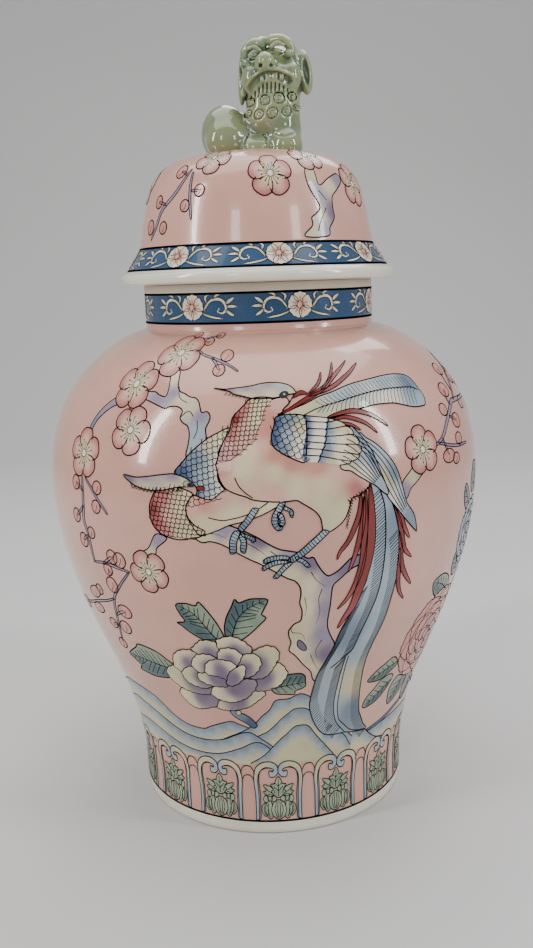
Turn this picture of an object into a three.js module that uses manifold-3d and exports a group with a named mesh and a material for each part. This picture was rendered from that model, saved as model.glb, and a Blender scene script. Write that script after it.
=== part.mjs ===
// A covered ginger jar of glazed porcelain, with a guardian lion on its lid.
// Millimetres, +Z up. The origin is the middle of the foot's underside, and the painted front faces -Y.
import * as THREE from 'three';
import { mergeVertices } from 'three/addons/utils/BufferGeometryUtils.js';
import Module from 'manifold-3d';

const wasm = await Module();
wasm.setup();

// Jar body
const FOOT_RADIUS = 79.2;
const FOOT_STRAIGHT = 17.8; // height of the upright part of the foot
const FOOT_LAND = 8; // width of the flat ring the jar stands on
const BELLY_RADIUS = 124;
const BELLY_HEIGHT = 196.4;
const SHOULDER_HEIGHT = 278.7; // top of the body, where the neck is luted on
const BODY_WALL = 6;
const BASE_RECESS = 6; // hollow under the base, inside the foot ring
const BASE_THICKNESS = 8;
const FLOOR_CORNER = 14; // radius between the floor and the wall inside
const EDGE_BEVEL = 1.2;

// How strongly each end of the body's two curves keeps its direction, as a share of the curve's height
const WAIST_FULLNESS = 0.345;
const UNDER_BELLY_FULLNESS = 0.43;
const SHOULDER_FULLNESS = 0.69;
const SHOULDER_FLATNESS = 0.29; // the same at the shoulder's inner end, as a share of its width
const SHOULDER_SLOPE = 0.2;

// Neck
const NECK_RADIUS = 62.5;
const NECK_WALL = 6.5;
const NECK_HEIGHT = 24.3; // from the shoulder to the rim that the lid rests on
const NECK_FILLET = 3;

// Lid
const DOME_STEP = 1.2; // how far the dome's lower edge stands outside the neck
const DOME_HEIGHT = 51.2;
const DOME_TAPER = 0.188; // inward lean of the dome's side
const DOME_SIDE_FULLNESS = 0.78; // as a share of the dome's height
const DOME_CROWN_FULLNESS = 0.925; // as a share of the dome's radius
const FLANGE_HEIGHT = 19.7; // from the seat up to the dome's lower edge
const LIP_OVERHANG = 15.2; // how far the lip stands outside the neck
const LIP_THICKNESS = 6.2;
const LIP_ROUND = 2.6;
const LID_WALL = 5.5;
const RING_DEPTH = 13; // how far the locating ring reaches below the seat
const RING_WALL = 4;
const RING_CLEARANCE = 3; // slack between the locating ring and the neck's bore

// Lion
const LION_HEIGHT = 60.8; // above the dome's crown
const LION_DRAWN_HEIGHT = 61; // the height for which the lion's lumps and its head seam are given
const HEAD_SEAM = 26; // height of the joint between head and body above the crown
const HEAD_SEAM_TILT = THREE.MathUtils.degToRad(14);

const JOINT_GAP = 0.3; // slip joint or resting gap between two pieces that touch
const SIDES = 48; // facets round every turned piece
const CURVE_STEPS = 8;

const neckTop = SHOULDER_HEIGHT + NECK_HEIGHT;
const neckBore = NECK_RADIUS - NECK_WALL;
const lidSeat = neckTop + JOINT_GAP;
const domeRadius = NECK_RADIUS + DOME_STEP;
const domeBase = lidSeat + FLANGE_HEIGHT;
const crownHeight = domeBase + DOME_HEIGHT;
const lipRadius = NECK_RADIUS + LIP_OVERHANG;
const ringOuter = neckBore - RING_CLEARANCE;
const ringInner = ringOuter - RING_WALL;
const lionScale = LION_HEIGHT / LION_DRAWN_HEIGHT;

// Outline points are (radius, height) pairs.

function pointsOf(start, draw, steps = CURVE_STEPS) {
  const path = new THREE.Path();
  path.moveTo(start[0], start[1]);
  draw(path);
  return path.getPoints(steps);
}

// Moves a drawn line sideways by a wall thickness, to the left of its direction.
function offset(points, distance) {
  return points.map((point, i) => {
    const before = points[Math.max(i - 1, 0)];
    const after = points[Math.min(i + 1, points.length - 1)];
    const along = after.clone().sub(before).normalize();
    return new THREE.Vector2(point.x - along.y * distance, point.y + along.x * distance);
  });
}

// Spins an outline about the jar's axis. The outline starts and ends on the axis, or closes on itself.
function turn(outline) {
  const geometry = new THREE.LatheGeometry(outline, SIDES);
  geometry.rotateX(Math.PI / 2);
  return geometry;
}

// Joins equal corners and drops the triangles that have shrunk to a line on the axis.
function welded(geometry) {
  const bare = geometry.clone();
  bare.deleteAttribute('normal');
  bare.deleteAttribute('uv');
  const merged = mergeVertices(bare, 1e-3);
  const index = merged.getIndex().array;
  const kept = [];
  for (let i = 0; i < index.length; i += 3) {
    const [a, b, c] = index.slice(i, i + 3);
    if (a !== b && b !== c && c !== a) kept.push(a, b, c);
  }
  merged.setIndex(kept);
  return merged;
}

function solid(geometry) {
  const mesh = welded(geometry);
  const vertProperties = new Float32Array(mesh.getAttribute('position').array);
  const triVerts = new Uint32Array(mesh.getIndex().array);
  return new wasm.Manifold(new wasm.Mesh({ numProp: 3, vertProperties, triVerts }));
}

function geometryOf(manifold) {
  const mesh = manifold.getMesh();
  const geometry = new THREE.BufferGeometry();
  geometry.setAttribute('position', new THREE.BufferAttribute(mesh.vertProperties, 3));
  geometry.setIndex(new THREE.BufferAttribute(mesh.triVerts, 1));
  geometry.computeVertexNormals();
  return geometry;
}

function piece(name, geometry, color, roughness) {
  const material = new THREE.MeshStandardMaterial({ color, roughness, metalness: 0 });
  const mesh = new THREE.Mesh(geometry, material);
  mesh.name = name;
  return mesh;
}

// Two curves: up from the foot to the belly, and over the shoulder to the neck.
function bodyCurve() {
  const shoulderRadius = NECK_RADIUS + NECK_FILLET;
  const lower = BELLY_HEIGHT - FOOT_STRAIGHT;
  const upper = SHOULDER_HEIGHT - BELLY_HEIGHT;
  const flat = (BELLY_RADIUS - shoulderRadius) * SHOULDER_FLATNESS;
  return pointsOf([FOOT_RADIUS, FOOT_STRAIGHT], (path) => {
    path.bezierCurveTo(
      FOOT_RADIUS, FOOT_STRAIGHT + lower * WAIST_FULLNESS,
      BELLY_RADIUS, BELLY_HEIGHT - lower * UNDER_BELLY_FULLNESS,
      BELLY_RADIUS, BELLY_HEIGHT,
    );
    path.bezierCurveTo(
      BELLY_RADIUS, BELLY_HEIGHT + upper * SHOULDER_FULLNESS,
      shoulderRadius + flat, SHOULDER_HEIGHT - flat * SHOULDER_SLOPE,
      shoulderRadius, SHOULDER_HEIGHT,
    );
  });
}

function jarBody() {
  const curve = bodyCurve();
  const floor = BASE_RECESS + BASE_THICKNESS;
  const wallInside = FOOT_RADIUS - BODY_WALL;
  const inner = offset(curve, BODY_WALL).filter((p) => p.y > floor + FLOOR_CORNER && p.x > neckBore + 1);
  const inside = pointsOf([0, floor], (path) => {
    path.lineTo(wallInside - FLOOR_CORNER, floor);
    path.quadraticCurveTo(wallInside, floor, wallInside, floor + FLOOR_CORNER);
  }, 5);
  const mouth = [
    new THREE.Vector2(neckBore, SHOULDER_HEIGHT - BODY_WALL),
    new THREE.Vector2(neckBore, SHOULDER_HEIGHT),
  ];
  const landInner = FOOT_RADIUS - EDGE_BEVEL - FOOT_LAND;
  const foot = pointsOf([FOOT_RADIUS, EDGE_BEVEL], (path) => {
    path.lineTo(FOOT_RADIUS - EDGE_BEVEL, 0);
    path.lineTo(landInner, 0);
    path.lineTo(landInner - EDGE_BEVEL, EDGE_BEVEL);
    path.lineTo(landInner - EDGE_BEVEL, BASE_RECESS);
    path.lineTo(0, BASE_RECESS);
  });
  return turn([...inside, ...inner, ...mouth, ...curve.slice().reverse(), ...foot].reverse());
}

function jarNeck() {
  const bottom = SHOULDER_HEIGHT + JOINT_GAP;
  const outline = pointsOf([neckBore, neckTop - EDGE_BEVEL], (path) => {
    path.lineTo(neckBore, bottom);
    path.lineTo(NECK_RADIUS + NECK_FILLET - JOINT_GAP, bottom);
    path.quadraticCurveTo(NECK_RADIUS, bottom, NECK_RADIUS, bottom + NECK_FILLET);
    path.lineTo(NECK_RADIUS, neckTop - EDGE_BEVEL);
    path.lineTo(NECK_RADIUS - EDGE_BEVEL, neckTop);
    path.lineTo(neckBore + EDGE_BEVEL, neckTop);
    path.lineTo(neckBore, neckTop - EDGE_BEVEL);
  }, 4);
  return turn(outline);
}

// The outside of the lid from the rounded lip, over the sloping flange and the dome, to the crown.
function lidCurve() {
  const side = DOME_HEIGHT * DOME_SIDE_FULLNESS;
  return pointsOf([lipRadius - LIP_ROUND, lidSeat], (path) => {
    path.quadraticCurveTo(lipRadius, lidSeat, lipRadius, lidSeat + LIP_THICKNESS / 2);
    path.quadraticCurveTo(lipRadius, lidSeat + LIP_THICKNESS, lipRadius - LIP_ROUND, lidSeat + LIP_THICKNESS);
    path.lineTo(domeRadius, domeBase);
    path.bezierCurveTo(
      domeRadius - side * DOME_TAPER, domeBase + side,
      domeRadius * DOME_CROWN_FULLNESS, crownHeight,
      0, crownHeight,
    );
  }, CURVE_STEPS);
}

function lidCap() {
  const innerRadius = domeRadius - LID_WALL;
  const inside = pointsOf([0, crownHeight - LID_WALL], (path) => {
    const side = DOME_HEIGHT * DOME_SIDE_FULLNESS;
    path.bezierCurveTo(
      innerRadius * DOME_CROWN_FULLNESS, crownHeight - LID_WALL,
      innerRadius - side * DOME_TAPER, domeBase + side,
      innerRadius, domeBase,
    );
    path.quadraticCurveTo(ringInner, lidSeat + LIP_THICKNESS, ringInner, lidSeat);
  });
  return turn([...lidCurve().reverse(), ...inside.reverse()].reverse());
}

function lidRing() {
  const top = lidSeat - JOINT_GAP;
  const bottom = lidSeat - RING_DEPTH;
  const outline = pointsOf([ringInner, top], (path) => {
    path.lineTo(ringInner, bottom);
    path.lineTo(ringOuter - EDGE_BEVEL, bottom);
    path.lineTo(ringOuter, bottom + EDGE_BEVEL);
    path.lineTo(ringOuter, top);
    path.lineTo(ringInner, top);
  });
  return turn(outline);
}

// The lion is pressed clay: rounded lumps run together. Centres and half-sizes are for a lion of the drawn
// height, measured from the middle of the crown, x towards the chest, y towards the back of the jar.
const LION_LUMPS = [
  { at: [-16, 3, 11], half: [14.5, 17, 14.5] }, // haunches
  { at: [-1, 3, 8], half: [21, 14, 13] }, // back and belly
  { at: [14, -1, 10], half: [13, 14, 22] }, // chest
  { at: [16, -9, 1], half: [10.5, 9, 11] }, // forelegs
  { at: [-8, -12, 1], half: [12, 7, 9] }, // hind foot
  { at: [-20, 14, 6], half: [6, 8, 14] }, // tail
  { at: [9.5, -1, 42], half: [16.5, 15, 19] }, // skull and mane
  { at: [9, -14, 38], half: [10, 7.5, 9] }, // muzzle
  { at: [11, -8, 27], half: [11, 9, 9] }, // beard
  { at: [-6.5, 0, 38], half: [3, 5, 11] }, // left ear
  { at: [27, 1, 38], half: [4, 6, 11] }, // right ear
];

function lionBlank() {
  const lumps = LION_LUMPS.map(({ at, half }) => {
    const lump = new THREE.SphereGeometry(lionScale, 16, 10);
    lump.scale(...half);
    lump.translate(at[0] * lionScale, at[1] * lionScale, crownHeight + at[2] * lionScale);
    return solid(lump);
  });
  return lumps.reduce((all, lump) => all.add(lump));
}

// The space that the lid fills, and the joint gap over it, so that the lion's underside follows the dome.
function domeBlank() {
  const skin = offset(lidCurve(), -JOINT_GAP);
  skin[skin.length - 1].x = 0;
  return solid(turn([new THREE.Vector2(0, lidSeat), ...skin]));
}

// A slab far larger than the lion, tilted about the joint between its body and its head.
function headSlab(gap) {
  const size = 4 * LION_HEIGHT;
  const slab = new THREE.BoxGeometry(size, size, size);
  slab.translate(0, 0, size / 2 + gap);
  slab.rotateX(HEAD_SEAM_TILT);
  slab.translate(0, 0, crownHeight + HEAD_SEAM * lionScale);
  return solid(slab);
}

const lion = lionBlank().subtract(domeBlank());
const lionBody = lion.subtract(headSlab(0));
const lionHead = lion.intersect(headSlab(JOINT_GAP));

const jar = new THREE.Group();
jar.add(piece('jar_body', jarBody(), 0xd9b3ae, 0.15));
jar.add(piece('jar_neck', jarNeck(), 0x235582, 0.15));

const lid = new THREE.Group();
lid.add(piece('lid_cap', lidCap(), 0xd9b3ae, 0.15));
lid.add(piece('lid_locating_ring', lidRing(), 0xd8cdb8, 0.6));
lid.add(piece('lion_body', geometryOf(lionBody), 0x9aa683, 0.15));
lid.add(piece('lion_head', geometryOf(lionHead), 0x9aa683, 0.15));

const gingerJar = new THREE.Group();
gingerJar.add(jar, lid);
export default gingerJar;
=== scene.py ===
# %% [markdown]
# # A painted porcelain ginger jar
# The jar is thrown in white clay, glazed pink, and painted over the glaze with black outlines and
# thin washes of enamel. A blue band runs round the neck and the lid, and a small lion in green
# celadon glaze sits on the lid as its handle. This lesson builds each of those layers as a real,
# very thin layer of mesh, because fired enamel stands a hair proud of the glaze in just that way.

# %% Load the frame
import math

import bmesh
import bpy
import numpy as np
from mathutils import Matrix, Vector, geometry


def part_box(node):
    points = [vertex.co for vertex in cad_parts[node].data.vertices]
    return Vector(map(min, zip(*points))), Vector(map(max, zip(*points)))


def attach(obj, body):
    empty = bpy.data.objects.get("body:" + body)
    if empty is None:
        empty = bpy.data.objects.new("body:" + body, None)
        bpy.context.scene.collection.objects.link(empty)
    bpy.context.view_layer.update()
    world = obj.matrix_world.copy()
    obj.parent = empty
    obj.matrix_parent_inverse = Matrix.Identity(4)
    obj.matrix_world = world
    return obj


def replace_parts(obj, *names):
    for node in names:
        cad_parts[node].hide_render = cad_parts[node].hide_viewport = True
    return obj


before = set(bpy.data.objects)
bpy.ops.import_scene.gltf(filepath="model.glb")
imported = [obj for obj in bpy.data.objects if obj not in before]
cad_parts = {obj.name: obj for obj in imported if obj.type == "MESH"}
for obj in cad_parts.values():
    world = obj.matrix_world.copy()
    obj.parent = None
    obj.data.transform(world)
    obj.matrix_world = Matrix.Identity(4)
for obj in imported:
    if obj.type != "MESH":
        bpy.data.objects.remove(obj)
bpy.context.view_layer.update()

# %% [markdown]
# ## Camera, light and floor
# A jar of this size is looked at from a little above, close enough for the belly to swell towards
# us. A long lens would flatten it, so the camera stands just over half a metre away. Porcelain shows
# its glaze by what it reflects, so four upright soft boxes give the long bright streaks, a broad one
# overhead fills the colour and one behind keeps the far side readable. A plain pale sweep of paper
# is floor and backdrop in one.

# %% Camera
MM = 0.001
CAMERA_PLACE = (0.0014, -0.566, 0.3042)
CAMERA_PITCH = math.radians(11.45)
CAMERA_ROLL = math.radians(-1.9)
LENS = 36.46


def add_camera():
    data = bpy.data.cameras.new("camera")
    data.lens = LENS
    data.sensor_width = 36
    camera = bpy.data.objects.new("camera", data)
    bpy.context.scene.collection.objects.link(camera)
    tilt = Matrix.Rotation(math.pi / 2 - CAMERA_PITCH, 4, "X")
    roll = Matrix.Rotation(CAMERA_ROLL, 4, "Z")
    camera.matrix_world = Matrix.Translation(CAMERA_PLACE) @ tilt @ roll
    bpy.context.scene.camera = camera
    return camera


camera = add_camera()
print("camera", round((Vector(CAMERA_PLACE) - Vector((0, 0, 0.2))).length, 3), "m from the belly")


# %% Lights and backdrop
def area_light(name, place, target, size, power, colour=(1, 1, 1)):
    data = bpy.data.lights.new(name, "AREA")
    data.shape = "RECTANGLE"
    data.size, data.size_y = size
    data.energy = power
    data.color = colour
    light = bpy.data.objects.new(name, data)
    bpy.context.scene.collection.objects.link(light)
    light.location = place
    light.rotation_euler = (Vector(target) - Vector(place)).to_track_quat("-Z", "Y").to_euler()
    return light


MIDDLE = (0, 0, 0.22)
area_light("window_left", (-0.95, -0.5, 0.75), MIDDLE, (0.10, 0.75), 6.5, (1.0, 0.98, 0.95))
area_light("window_right", (0.95, -0.4, 0.7), MIDDLE, (0.09, 0.7), 5, (0.95, 0.97, 1.0))
area_light("lamp_left", (-0.52, -1.45, 0.75), MIDDLE, (0.22, 0.55), 3)
area_light("lamp_right", (1.0, -1.2, 0.75), MIDDLE, (0.22, 0.55), 3)
area_light("ceiling", (0.0, 0.1, 1.5), MIDDLE, (1.8, 1.2), 14)
area_light("rear_fill", (0.3, 0.9, 1.3), MIDDLE, (0.9, 0.6), 6)

world = bpy.data.worlds.new("studio")
bpy.context.scene.world = world
world.use_nodes = True
world.node_tree.nodes["Background"].inputs["Color"].default_value = (0.9, 0.92, 0.95, 1)
world.node_tree.nodes["Background"].inputs["Strength"].default_value = 0.45


def paper_sweep(front=1.6, back=1.7, half_width=2.2, bend=0.6, height=1.8):
    """A sheet of paper that lies flat under the jar and curls up behind it."""
    side = [(-front, 0.0), (back - bend, 0.0)]
    for step in range(1, 13):
        angle = math.pi / 2 * step / 12
        side.append((back - bend + bend * math.sin(angle), bend - bend * math.cos(angle)))
    side.append((back, height))
    points = [(x, y, z) for y, z in side for x in (-half_width, half_width)]
    faces = [(2 * i, 2 * i + 1, 2 * i + 3, 2 * i + 2) for i in range(len(side) - 1)]
    mesh = bpy.data.meshes.new("paper_sweep")
    mesh.from_pydata(points, [], faces)
    mesh.shade_smooth()
    sweep = bpy.data.objects.new("paper_sweep", mesh)
    bpy.context.scene.collection.objects.link(sweep)
    return sweep


paper = bpy.data.materials.new("pale_paper")
paper.use_nodes = True
paper.node_tree.nodes["Principled BSDF"].inputs["Base Color"].default_value = (0.62, 0.61, 0.6, 1)
paper.node_tree.nodes["Principled BSDF"].inputs["Roughness"].default_value = 0.9
floor = paper_sweep()
floor.data.materials.append(paper)
# %% [markdown]
# ## Glazes and enamels
# All the finishes here are glass: a clear melted coat over colour. What they share is a faint
# unevenness where the glaze ran and settled, so that is one shader group, placed in each material
# with its own strength. The group only gives a mask and a height; the shader itself stays in the
# material.


# %% Tools for node trees
def link(tree, start, end):
    tree.links.new(start, end)


def socket_in(group, name, kind, value=None):
    item = group.interface.new_socket(name, in_out="INPUT", socket_type="NodeSocket" + kind)
    if value is not None:
        item.default_value = value


def socket_out(group, name, kind):
    group.interface.new_socket(name, in_out="OUTPUT", socket_type="NodeSocket" + kind)


def feed(tree, node, values):
    """Gives a node's inputs their values; a value that is a socket is linked."""
    for key, value in values.items():
        if isinstance(value, bpy.types.NodeSocket):
            link(tree, value, node.inputs[key])
        else:
            node.inputs[key].default_value = value


def put(tree, kind, values=None, **settings):
    """Adds a node with its settings, then feeds its inputs."""
    node = tree.nodes.new(kind)
    for name, value in settings.items():
        setattr(node, name, value)
    feed(tree, node, values or {})
    return node


# %% The shared glaze unevenness
SPECK_SCALE = 900


def glaze_ripple_group():
    """Slow clouds of tone, fine specks, and the orange-peel skin of a melted glaze."""
    group = bpy.data.node_groups.new("glaze_ripple", "ShaderNodeTree")
    socket_in(group, "Cloud Scale", "Float", 14)
    socket_in(group, "Peel Scale", "Float", 260)
    for name in ("Clouds", "Speckle", "Peel Height"):
        socket_out(group, name, "Float")
    start = put(group, "NodeGroupInput").outputs
    end = put(group, "NodeGroupOutput")
    place = put(group, "ShaderNodeTexCoord").outputs["Object"]
    for name, scale, detail in [
        ("Clouds", start["Cloud Scale"], 4), ("Speckle", SPECK_SCALE, 2),
        ("Peel Height", start["Peel Scale"], 1),
    ]:
        noise = put(group, "ShaderNodeTexNoise", {"Vector": place, "Scale": scale, "Detail": detail})
        feed(group, end, {name: noise.outputs["Fac"]})
    return group


glaze_ripple = glaze_ripple_group()


# %% One builder for every fired finish
def ramp(tree, mask, stops):
    """A colour ramp over a mask; stops are (position, red, green, blue), in order."""
    node = put(tree, "ShaderNodeValToRGB", {"Fac": mask})
    elements = node.color_ramp.elements
    for stop in stops[2:]:
        elements.new(stop[0])
    for element, (position, *colour) in zip(elements, stops):
        element.position = position
        element.color = (*colour, 1)
    return node.outputs["Color"]


def multiplied(tree, first, second):
    """One colour times another."""
    mix = put(tree, "ShaderNodeMix", data_type="RGBA", blend_type="MULTIPLY")
    feed(tree, mix, {"Factor": 1, "A": first, "B": second})
    return mix.outputs["Result"]


def attribute(tree, name, output):
    return put(tree, "ShaderNodeAttribute", attribute_name=name).outputs[output]


def fired_material(name, low, high, gloss, peel=0.02, coat=0.6, clouds=14, painted=False):
    """A ceramic finish that drifts between two tones; painted ones multiply the tint attribute."""
    material = bpy.data.materials.new(name)
    material.use_nodes = True
    tree = material.node_tree
    ripple = put(tree, "ShaderNodeGroup", {"Cloud Scale": clouds}, node_tree=glaze_ripple).outputs
    colour = ramp(tree, ripple["Clouds"], [(0.35, *low), (0.65, *high)])
    if painted:
        colour = multiplied(tree, colour, attribute(tree, "tint", "Color"))
    spread = {"Value": ripple["Speckle"], "To Min": gloss * 0.8, "To Max": gloss * 1.25}
    skin = {"Strength": peel, "Distance": MM, "Height": ripple["Peel Height"]}
    feed(
        tree, tree.nodes["Principled BSDF"],
        {
            "Base Color": colour,
            "Roughness": put(tree, "ShaderNodeMapRange", spread).outputs["Result"],
            "Normal": put(tree, "ShaderNodeBump", skin).outputs["Normal"],
            "Coat Weight": coat,
            "Coat Roughness": 0.05,
        },
    )
    return material


pink_glaze = fired_material("pink_glaze", (0.575, 0.30, 0.235), (0.665, 0.365, 0.283), 0.2, 0.06)
cream_glaze = fired_material("cream_glaze", (0.72, 0.68, 0.55), (0.82, 0.79, 0.68), 0.2)
bare_biscuit = fired_material("bare_biscuit", (0.60, 0.53, 0.42), (0.70, 0.64, 0.53), 0.75, 0.2, 0)
blue_enamel = fired_material("blue_enamel", (0.008, 0.045, 0.115), (0.012, 0.07, 0.165), 0.25, 0.08)
enamel = fired_material("painted_enamel", (0.86, 0.86, 0.86), (1.0, 1.0, 1.0), 0.3, 0.06, 0.5, 60, True)
ink = fired_material("ink_line", (0.012, 0.011, 0.014), (0.03, 0.026, 0.03), 0.3, 0.05, 0.5, 200)
FINISHES = {m.name: m for m in (pink_glaze, cream_glaze, bare_biscuit, blue_enamel, enamel, ink)}
print("finishes:", ", ".join(FINISHES))

# %% [markdown]
# ## One way of laying things on the jar
# Everything on the jar, from its own wall to the finest hair line, is first drawn flat, as a painter
# would unroll the jar into a sheet: across is distance round the belly, up is distance along the
# wall. A Geometry Nodes tree then wraps the sheet round the jar by reading its outline curve, and
# lifts it off the wall by its thickness. The outline is the same rule that the solid model was
# turned with, so the two agree.


# %% Outlines of the jar, the neck and the lid
def bend(start, pull, push, end, steps):
    """Points along a Bezier curve, without its first point."""
    a, b, c, d = (np.array(p, float) for p in (start, pull, push, end))
    t = np.linspace(0, 1, steps + 1)[1:, None]
    start = (1 - t) ** 3 * a + 3 * (1 - t) ** 2 * t * b
    curve = start + 3 * (1 - t) * t * t * c + t**3 * d
    return [tuple(p) for p in curve]


def edge_mm(node, corner, axis):
    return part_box(node)[corner][axis] / MM


BELLY = edge_mm("jar_body", 1, 0)
BODY_TOP = edge_mm("jar_neck", 0, 2) - 0.3
NECK = edge_mm("jar_neck", 1, 0)
NECK_TOP = edge_mm("jar_neck", 1, 2)
SEAT = edge_mm("lid_cap", 0, 2)
CROWN = edge_mm("lid_cap", 1, 2)
LIP = edge_mm("lid_cap", 1, 0)
FOOT = 79.2
FOOT_STRAIGHT = 17.8
BELLY_HEIGHT = 196.4
SHOULDER = 65.5
WALL = 6.0
DOME = NECK + 1.2
FLANGE = 19.7


def jar_outside():
    """Foot to shoulder: up the foot, out to the belly and in over the shoulder."""
    lower = BELLY_HEIGHT - FOOT_STRAIGHT
    upper = BODY_TOP - BELLY_HEIGHT
    flat = (BELLY - SHOULDER) * 0.29
    points = [(FOOT - 1.2, 0.0), (FOOT, 1.2), (FOOT, FOOT_STRAIGHT)]
    waist = (FOOT, FOOT_STRAIGHT + lower * 0.345)
    under = (BELLY, BELLY_HEIGHT - lower * 0.43)
    points += bend(points[-1], waist, under, (BELLY, BELLY_HEIGHT), 90)
    over = (BELLY, BELLY_HEIGHT + upper * 0.69)
    slope = (SHOULDER + flat, BODY_TOP - flat * 0.2)
    points += bend(points[-1], over, slope, (SHOULDER, BODY_TOP), 70)
    return points


def neck_outside():
    """Shoulder to rim: a small hollow curve, the straight neck and its rounded edge."""
    start = (SHOULDER, BODY_TOP)
    points = bend(start, (NECK + 0.6, BODY_TOP), (NECK, BODY_TOP + 1), (NECK, BODY_TOP + 3.3), 8)
    points.append((NECK, NECK_TOP - 1.2))
    return points + bend(points[-1], (NECK, NECK_TOP), (NECK, NECK_TOP), (NECK - 1.2, NECK_TOP), 4)


def jar_inside():
    """Rim to the middle of the floor, down the hollow."""
    mouth = NECK - 6.5
    wall = [(r - WALL, z) for r, z in jar_outside() if 40 < z and r - WALL > mouth]
    down = [(mouth + 1.2, NECK_TOP), (mouth, NECK_TOP - 1.2), (mouth, BODY_TOP - 6)]
    down += [(r, z - 0.35 * WALL) for r, z in reversed(wall)]
    floor_edge = down[-1]
    down += bend(floor_edge, (FOOT - WALL, 24), (FOOT - WALL, 14), (FOOT - 20, 14), 12)
    return down + [(0.0, 14.0)]


def foot_underside():
    """Middle of the recessed base out to the ring that the jar stands on."""
    return [(0.0, 6.0), (FOOT - 10.4, 6.0), (FOOT - 10.4, 1.2), (FOOT - 9.2, 0.0)]


def lid_outside():
    """Underside of the lip, round its edge, over the blue flange and up to the crown."""
    base = SEAT + FLANGE
    height = CROWN - base
    side = height * 0.78
    shelf = LIP - 2.6
    points = [(shelf, SEAT)]
    points += bend(points[0], (LIP - 0.8, SEAT), (LIP, SEAT + 1.3), (LIP, SEAT + 3.1), 6)
    points += bend(points[-1], (LIP, SEAT + 4.9), (LIP - 0.8, SEAT + 6.2), (shelf, SEAT + 6.2), 6)
    points.append((DOME, base))
    brow = (DOME - side * 0.188, base + side)
    return points + bend(points[-1], brow, (DOME * 0.925, CROWN), (0.0, CROWN), 110)


def lid_inside():
    """From the crown's underside down the hollow to the seat."""
    wall = [(r - 5.5, z - 2.5) for r, z in lid_outside() if z > SEAT + FLANGE and r > 9]
    inner = [(0.0, CROWN - 5.5)] + [(r, z - 3 * (1 - r / DOME)) for r, z in reversed(wall)]
    return inner + [(49.2, SEAT)]


def length_along(points):
    steps = np.hypot(*np.diff(np.array(points), axis=0).T)
    return np.concatenate([[0], np.cumsum(steps)])


def outline_object(name, points):
    """The outline as a curve in the plane y = 0, so that a tree can sample it by length."""
    data = bpy.data.curves.new(name, "CURVE")
    data.dimensions = "3D"
    line = data.splines.new("POLY")
    line.points.add(len(points) - 1)
    for point, (radius, height) in zip(line.points, points):
        point.co = (radius * MM, 0, height * MM, 1)
    shape = bpy.data.objects.new(name, data)
    return shape


body_outline = jar_outside()
neck_outline = neck_outside()
jar_loop = foot_underside() + body_outline + neck_outline + jar_inside()
lid_outline = lid_outside()
lid_loop = lid_outline + lid_inside() + [lid_outline[0]]
OUTLINES = {
    "body": (outline_object("body_outline", body_outline + neck_outline), BELLY),
    "jar": (outline_object("jar_loop", jar_loop), BELLY),
    "lid": (outline_object("lid_outline", lid_outline), DOME),
    "cap": (outline_object("lid_loop", lid_loop), DOME),
}
print(
    "body wall is", round(length_along(body_outline)[-1], 1), "mm long, lid",
    round(length_along(lid_outline)[-1], 1),
)


# %% The wrapping tree
def calculate(tree, operation, *values):
    return put(tree, "ShaderNodeMath", dict(enumerate(values)), operation=operation).outputs[0]


def wrap_group():
    """Bends flat geometry round the jar: x runs round, y runs up the outline, z lifts off it."""
    group = bpy.data.node_groups.new("wrap_on_outline", "GeometryNodeTree")
    socket_out(group, "Geometry", "Geometry")
    socket_in(group, "Flat Geometry", "Geometry")
    socket_in(group, "Outline", "Object")
    socket_in(group, "Sheet Radius", "Float", 0.1)
    start = put(group, "NodeGroupInput").outputs
    end = put(group, "NodeGroupOutput")

    def parts(vector):
        return put(group, "ShaderNodeSeparateXYZ", {0: vector}).outputs

    flat = parts(put(group, "GeometryNodeInputPosition").outputs[0])
    angle = calculate(group, "DIVIDE", flat["X"], start["Sheet Radius"])
    sine = calculate(group, "SINE", angle)
    front = calculate(group, "MULTIPLY", calculate(group, "COSINE", angle), -1)
    curve = put(group, "GeometryNodeObjectInfo", {"Object": start["Outline"]}).outputs["Geometry"]
    at = {"Curves": curve, "Length": flat["Y"]}
    sample = put(group, "GeometryNodeSampleCurve", at, mode="LENGTH").outputs
    place = parts(sample["Position"])
    run = parts(sample["Tangent"])
    out_x = run["Z"]
    out_z = calculate(group, "MULTIPLY", run["X"], -1)
    radius = calculate(group, "MULTIPLY_ADD", out_x, flat["Z"], place["X"])
    height = calculate(group, "MULTIPLY_ADD", out_z, flat["Z"], place["Z"])

    def turned(across, up):
        """A vector from its parts across and along the jar's axis."""
        x = calculate(group, "MULTIPLY", across, sine)
        y = calculate(group, "MULTIPLY", across, front)
        return put(group, "ShaderNodeCombineXYZ", {"X": x, "Y": y, "Z": up}).outputs[0]

    kept = {"Geometry": start["Flat Geometry"], "Name": "wall_normal", "Value": turned(out_x, out_z)}
    keep = put(group, "GeometryNodeStoreNamedAttribute", data_type="FLOAT_VECTOR")
    feed(group, keep, kept)
    moved = {"Geometry": keep.outputs[0], "Position": turned(radius, height)}
    feed(group, end, {0: put(group, "GeometryNodeSetPosition", moved).outputs[0]})
    return group


wrap_on_outline = wrap_group()


def new_modifier_tree(name, sockets):
    """A tree with a Geometry socket at each end and named (kind, value) inputs."""
    group = bpy.data.node_groups.new(name, "GeometryNodeTree")
    group.is_modifier = True
    socket_out(group, "Geometry", "Geometry")
    socket_in(group, "Geometry", "Geometry")
    for label, kind, value in [("Outline", "Object", None), ("Sheet Radius", "Float", 0.1), *sockets]:
        socket_in(group, label, kind, value)
    return group, put(group, "NodeGroupInput").outputs, put(group, "NodeGroupOutput")


def wrapped(tree, start, flat):
    wrap = put(tree, "GeometryNodeGroup", node_tree=wrap_on_outline)
    feed(tree, wrap, {"Flat Geometry": flat, **{k: start[k] for k in ("Outline", "Sheet Radius")}})
    return wrap.outputs[0]


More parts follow.
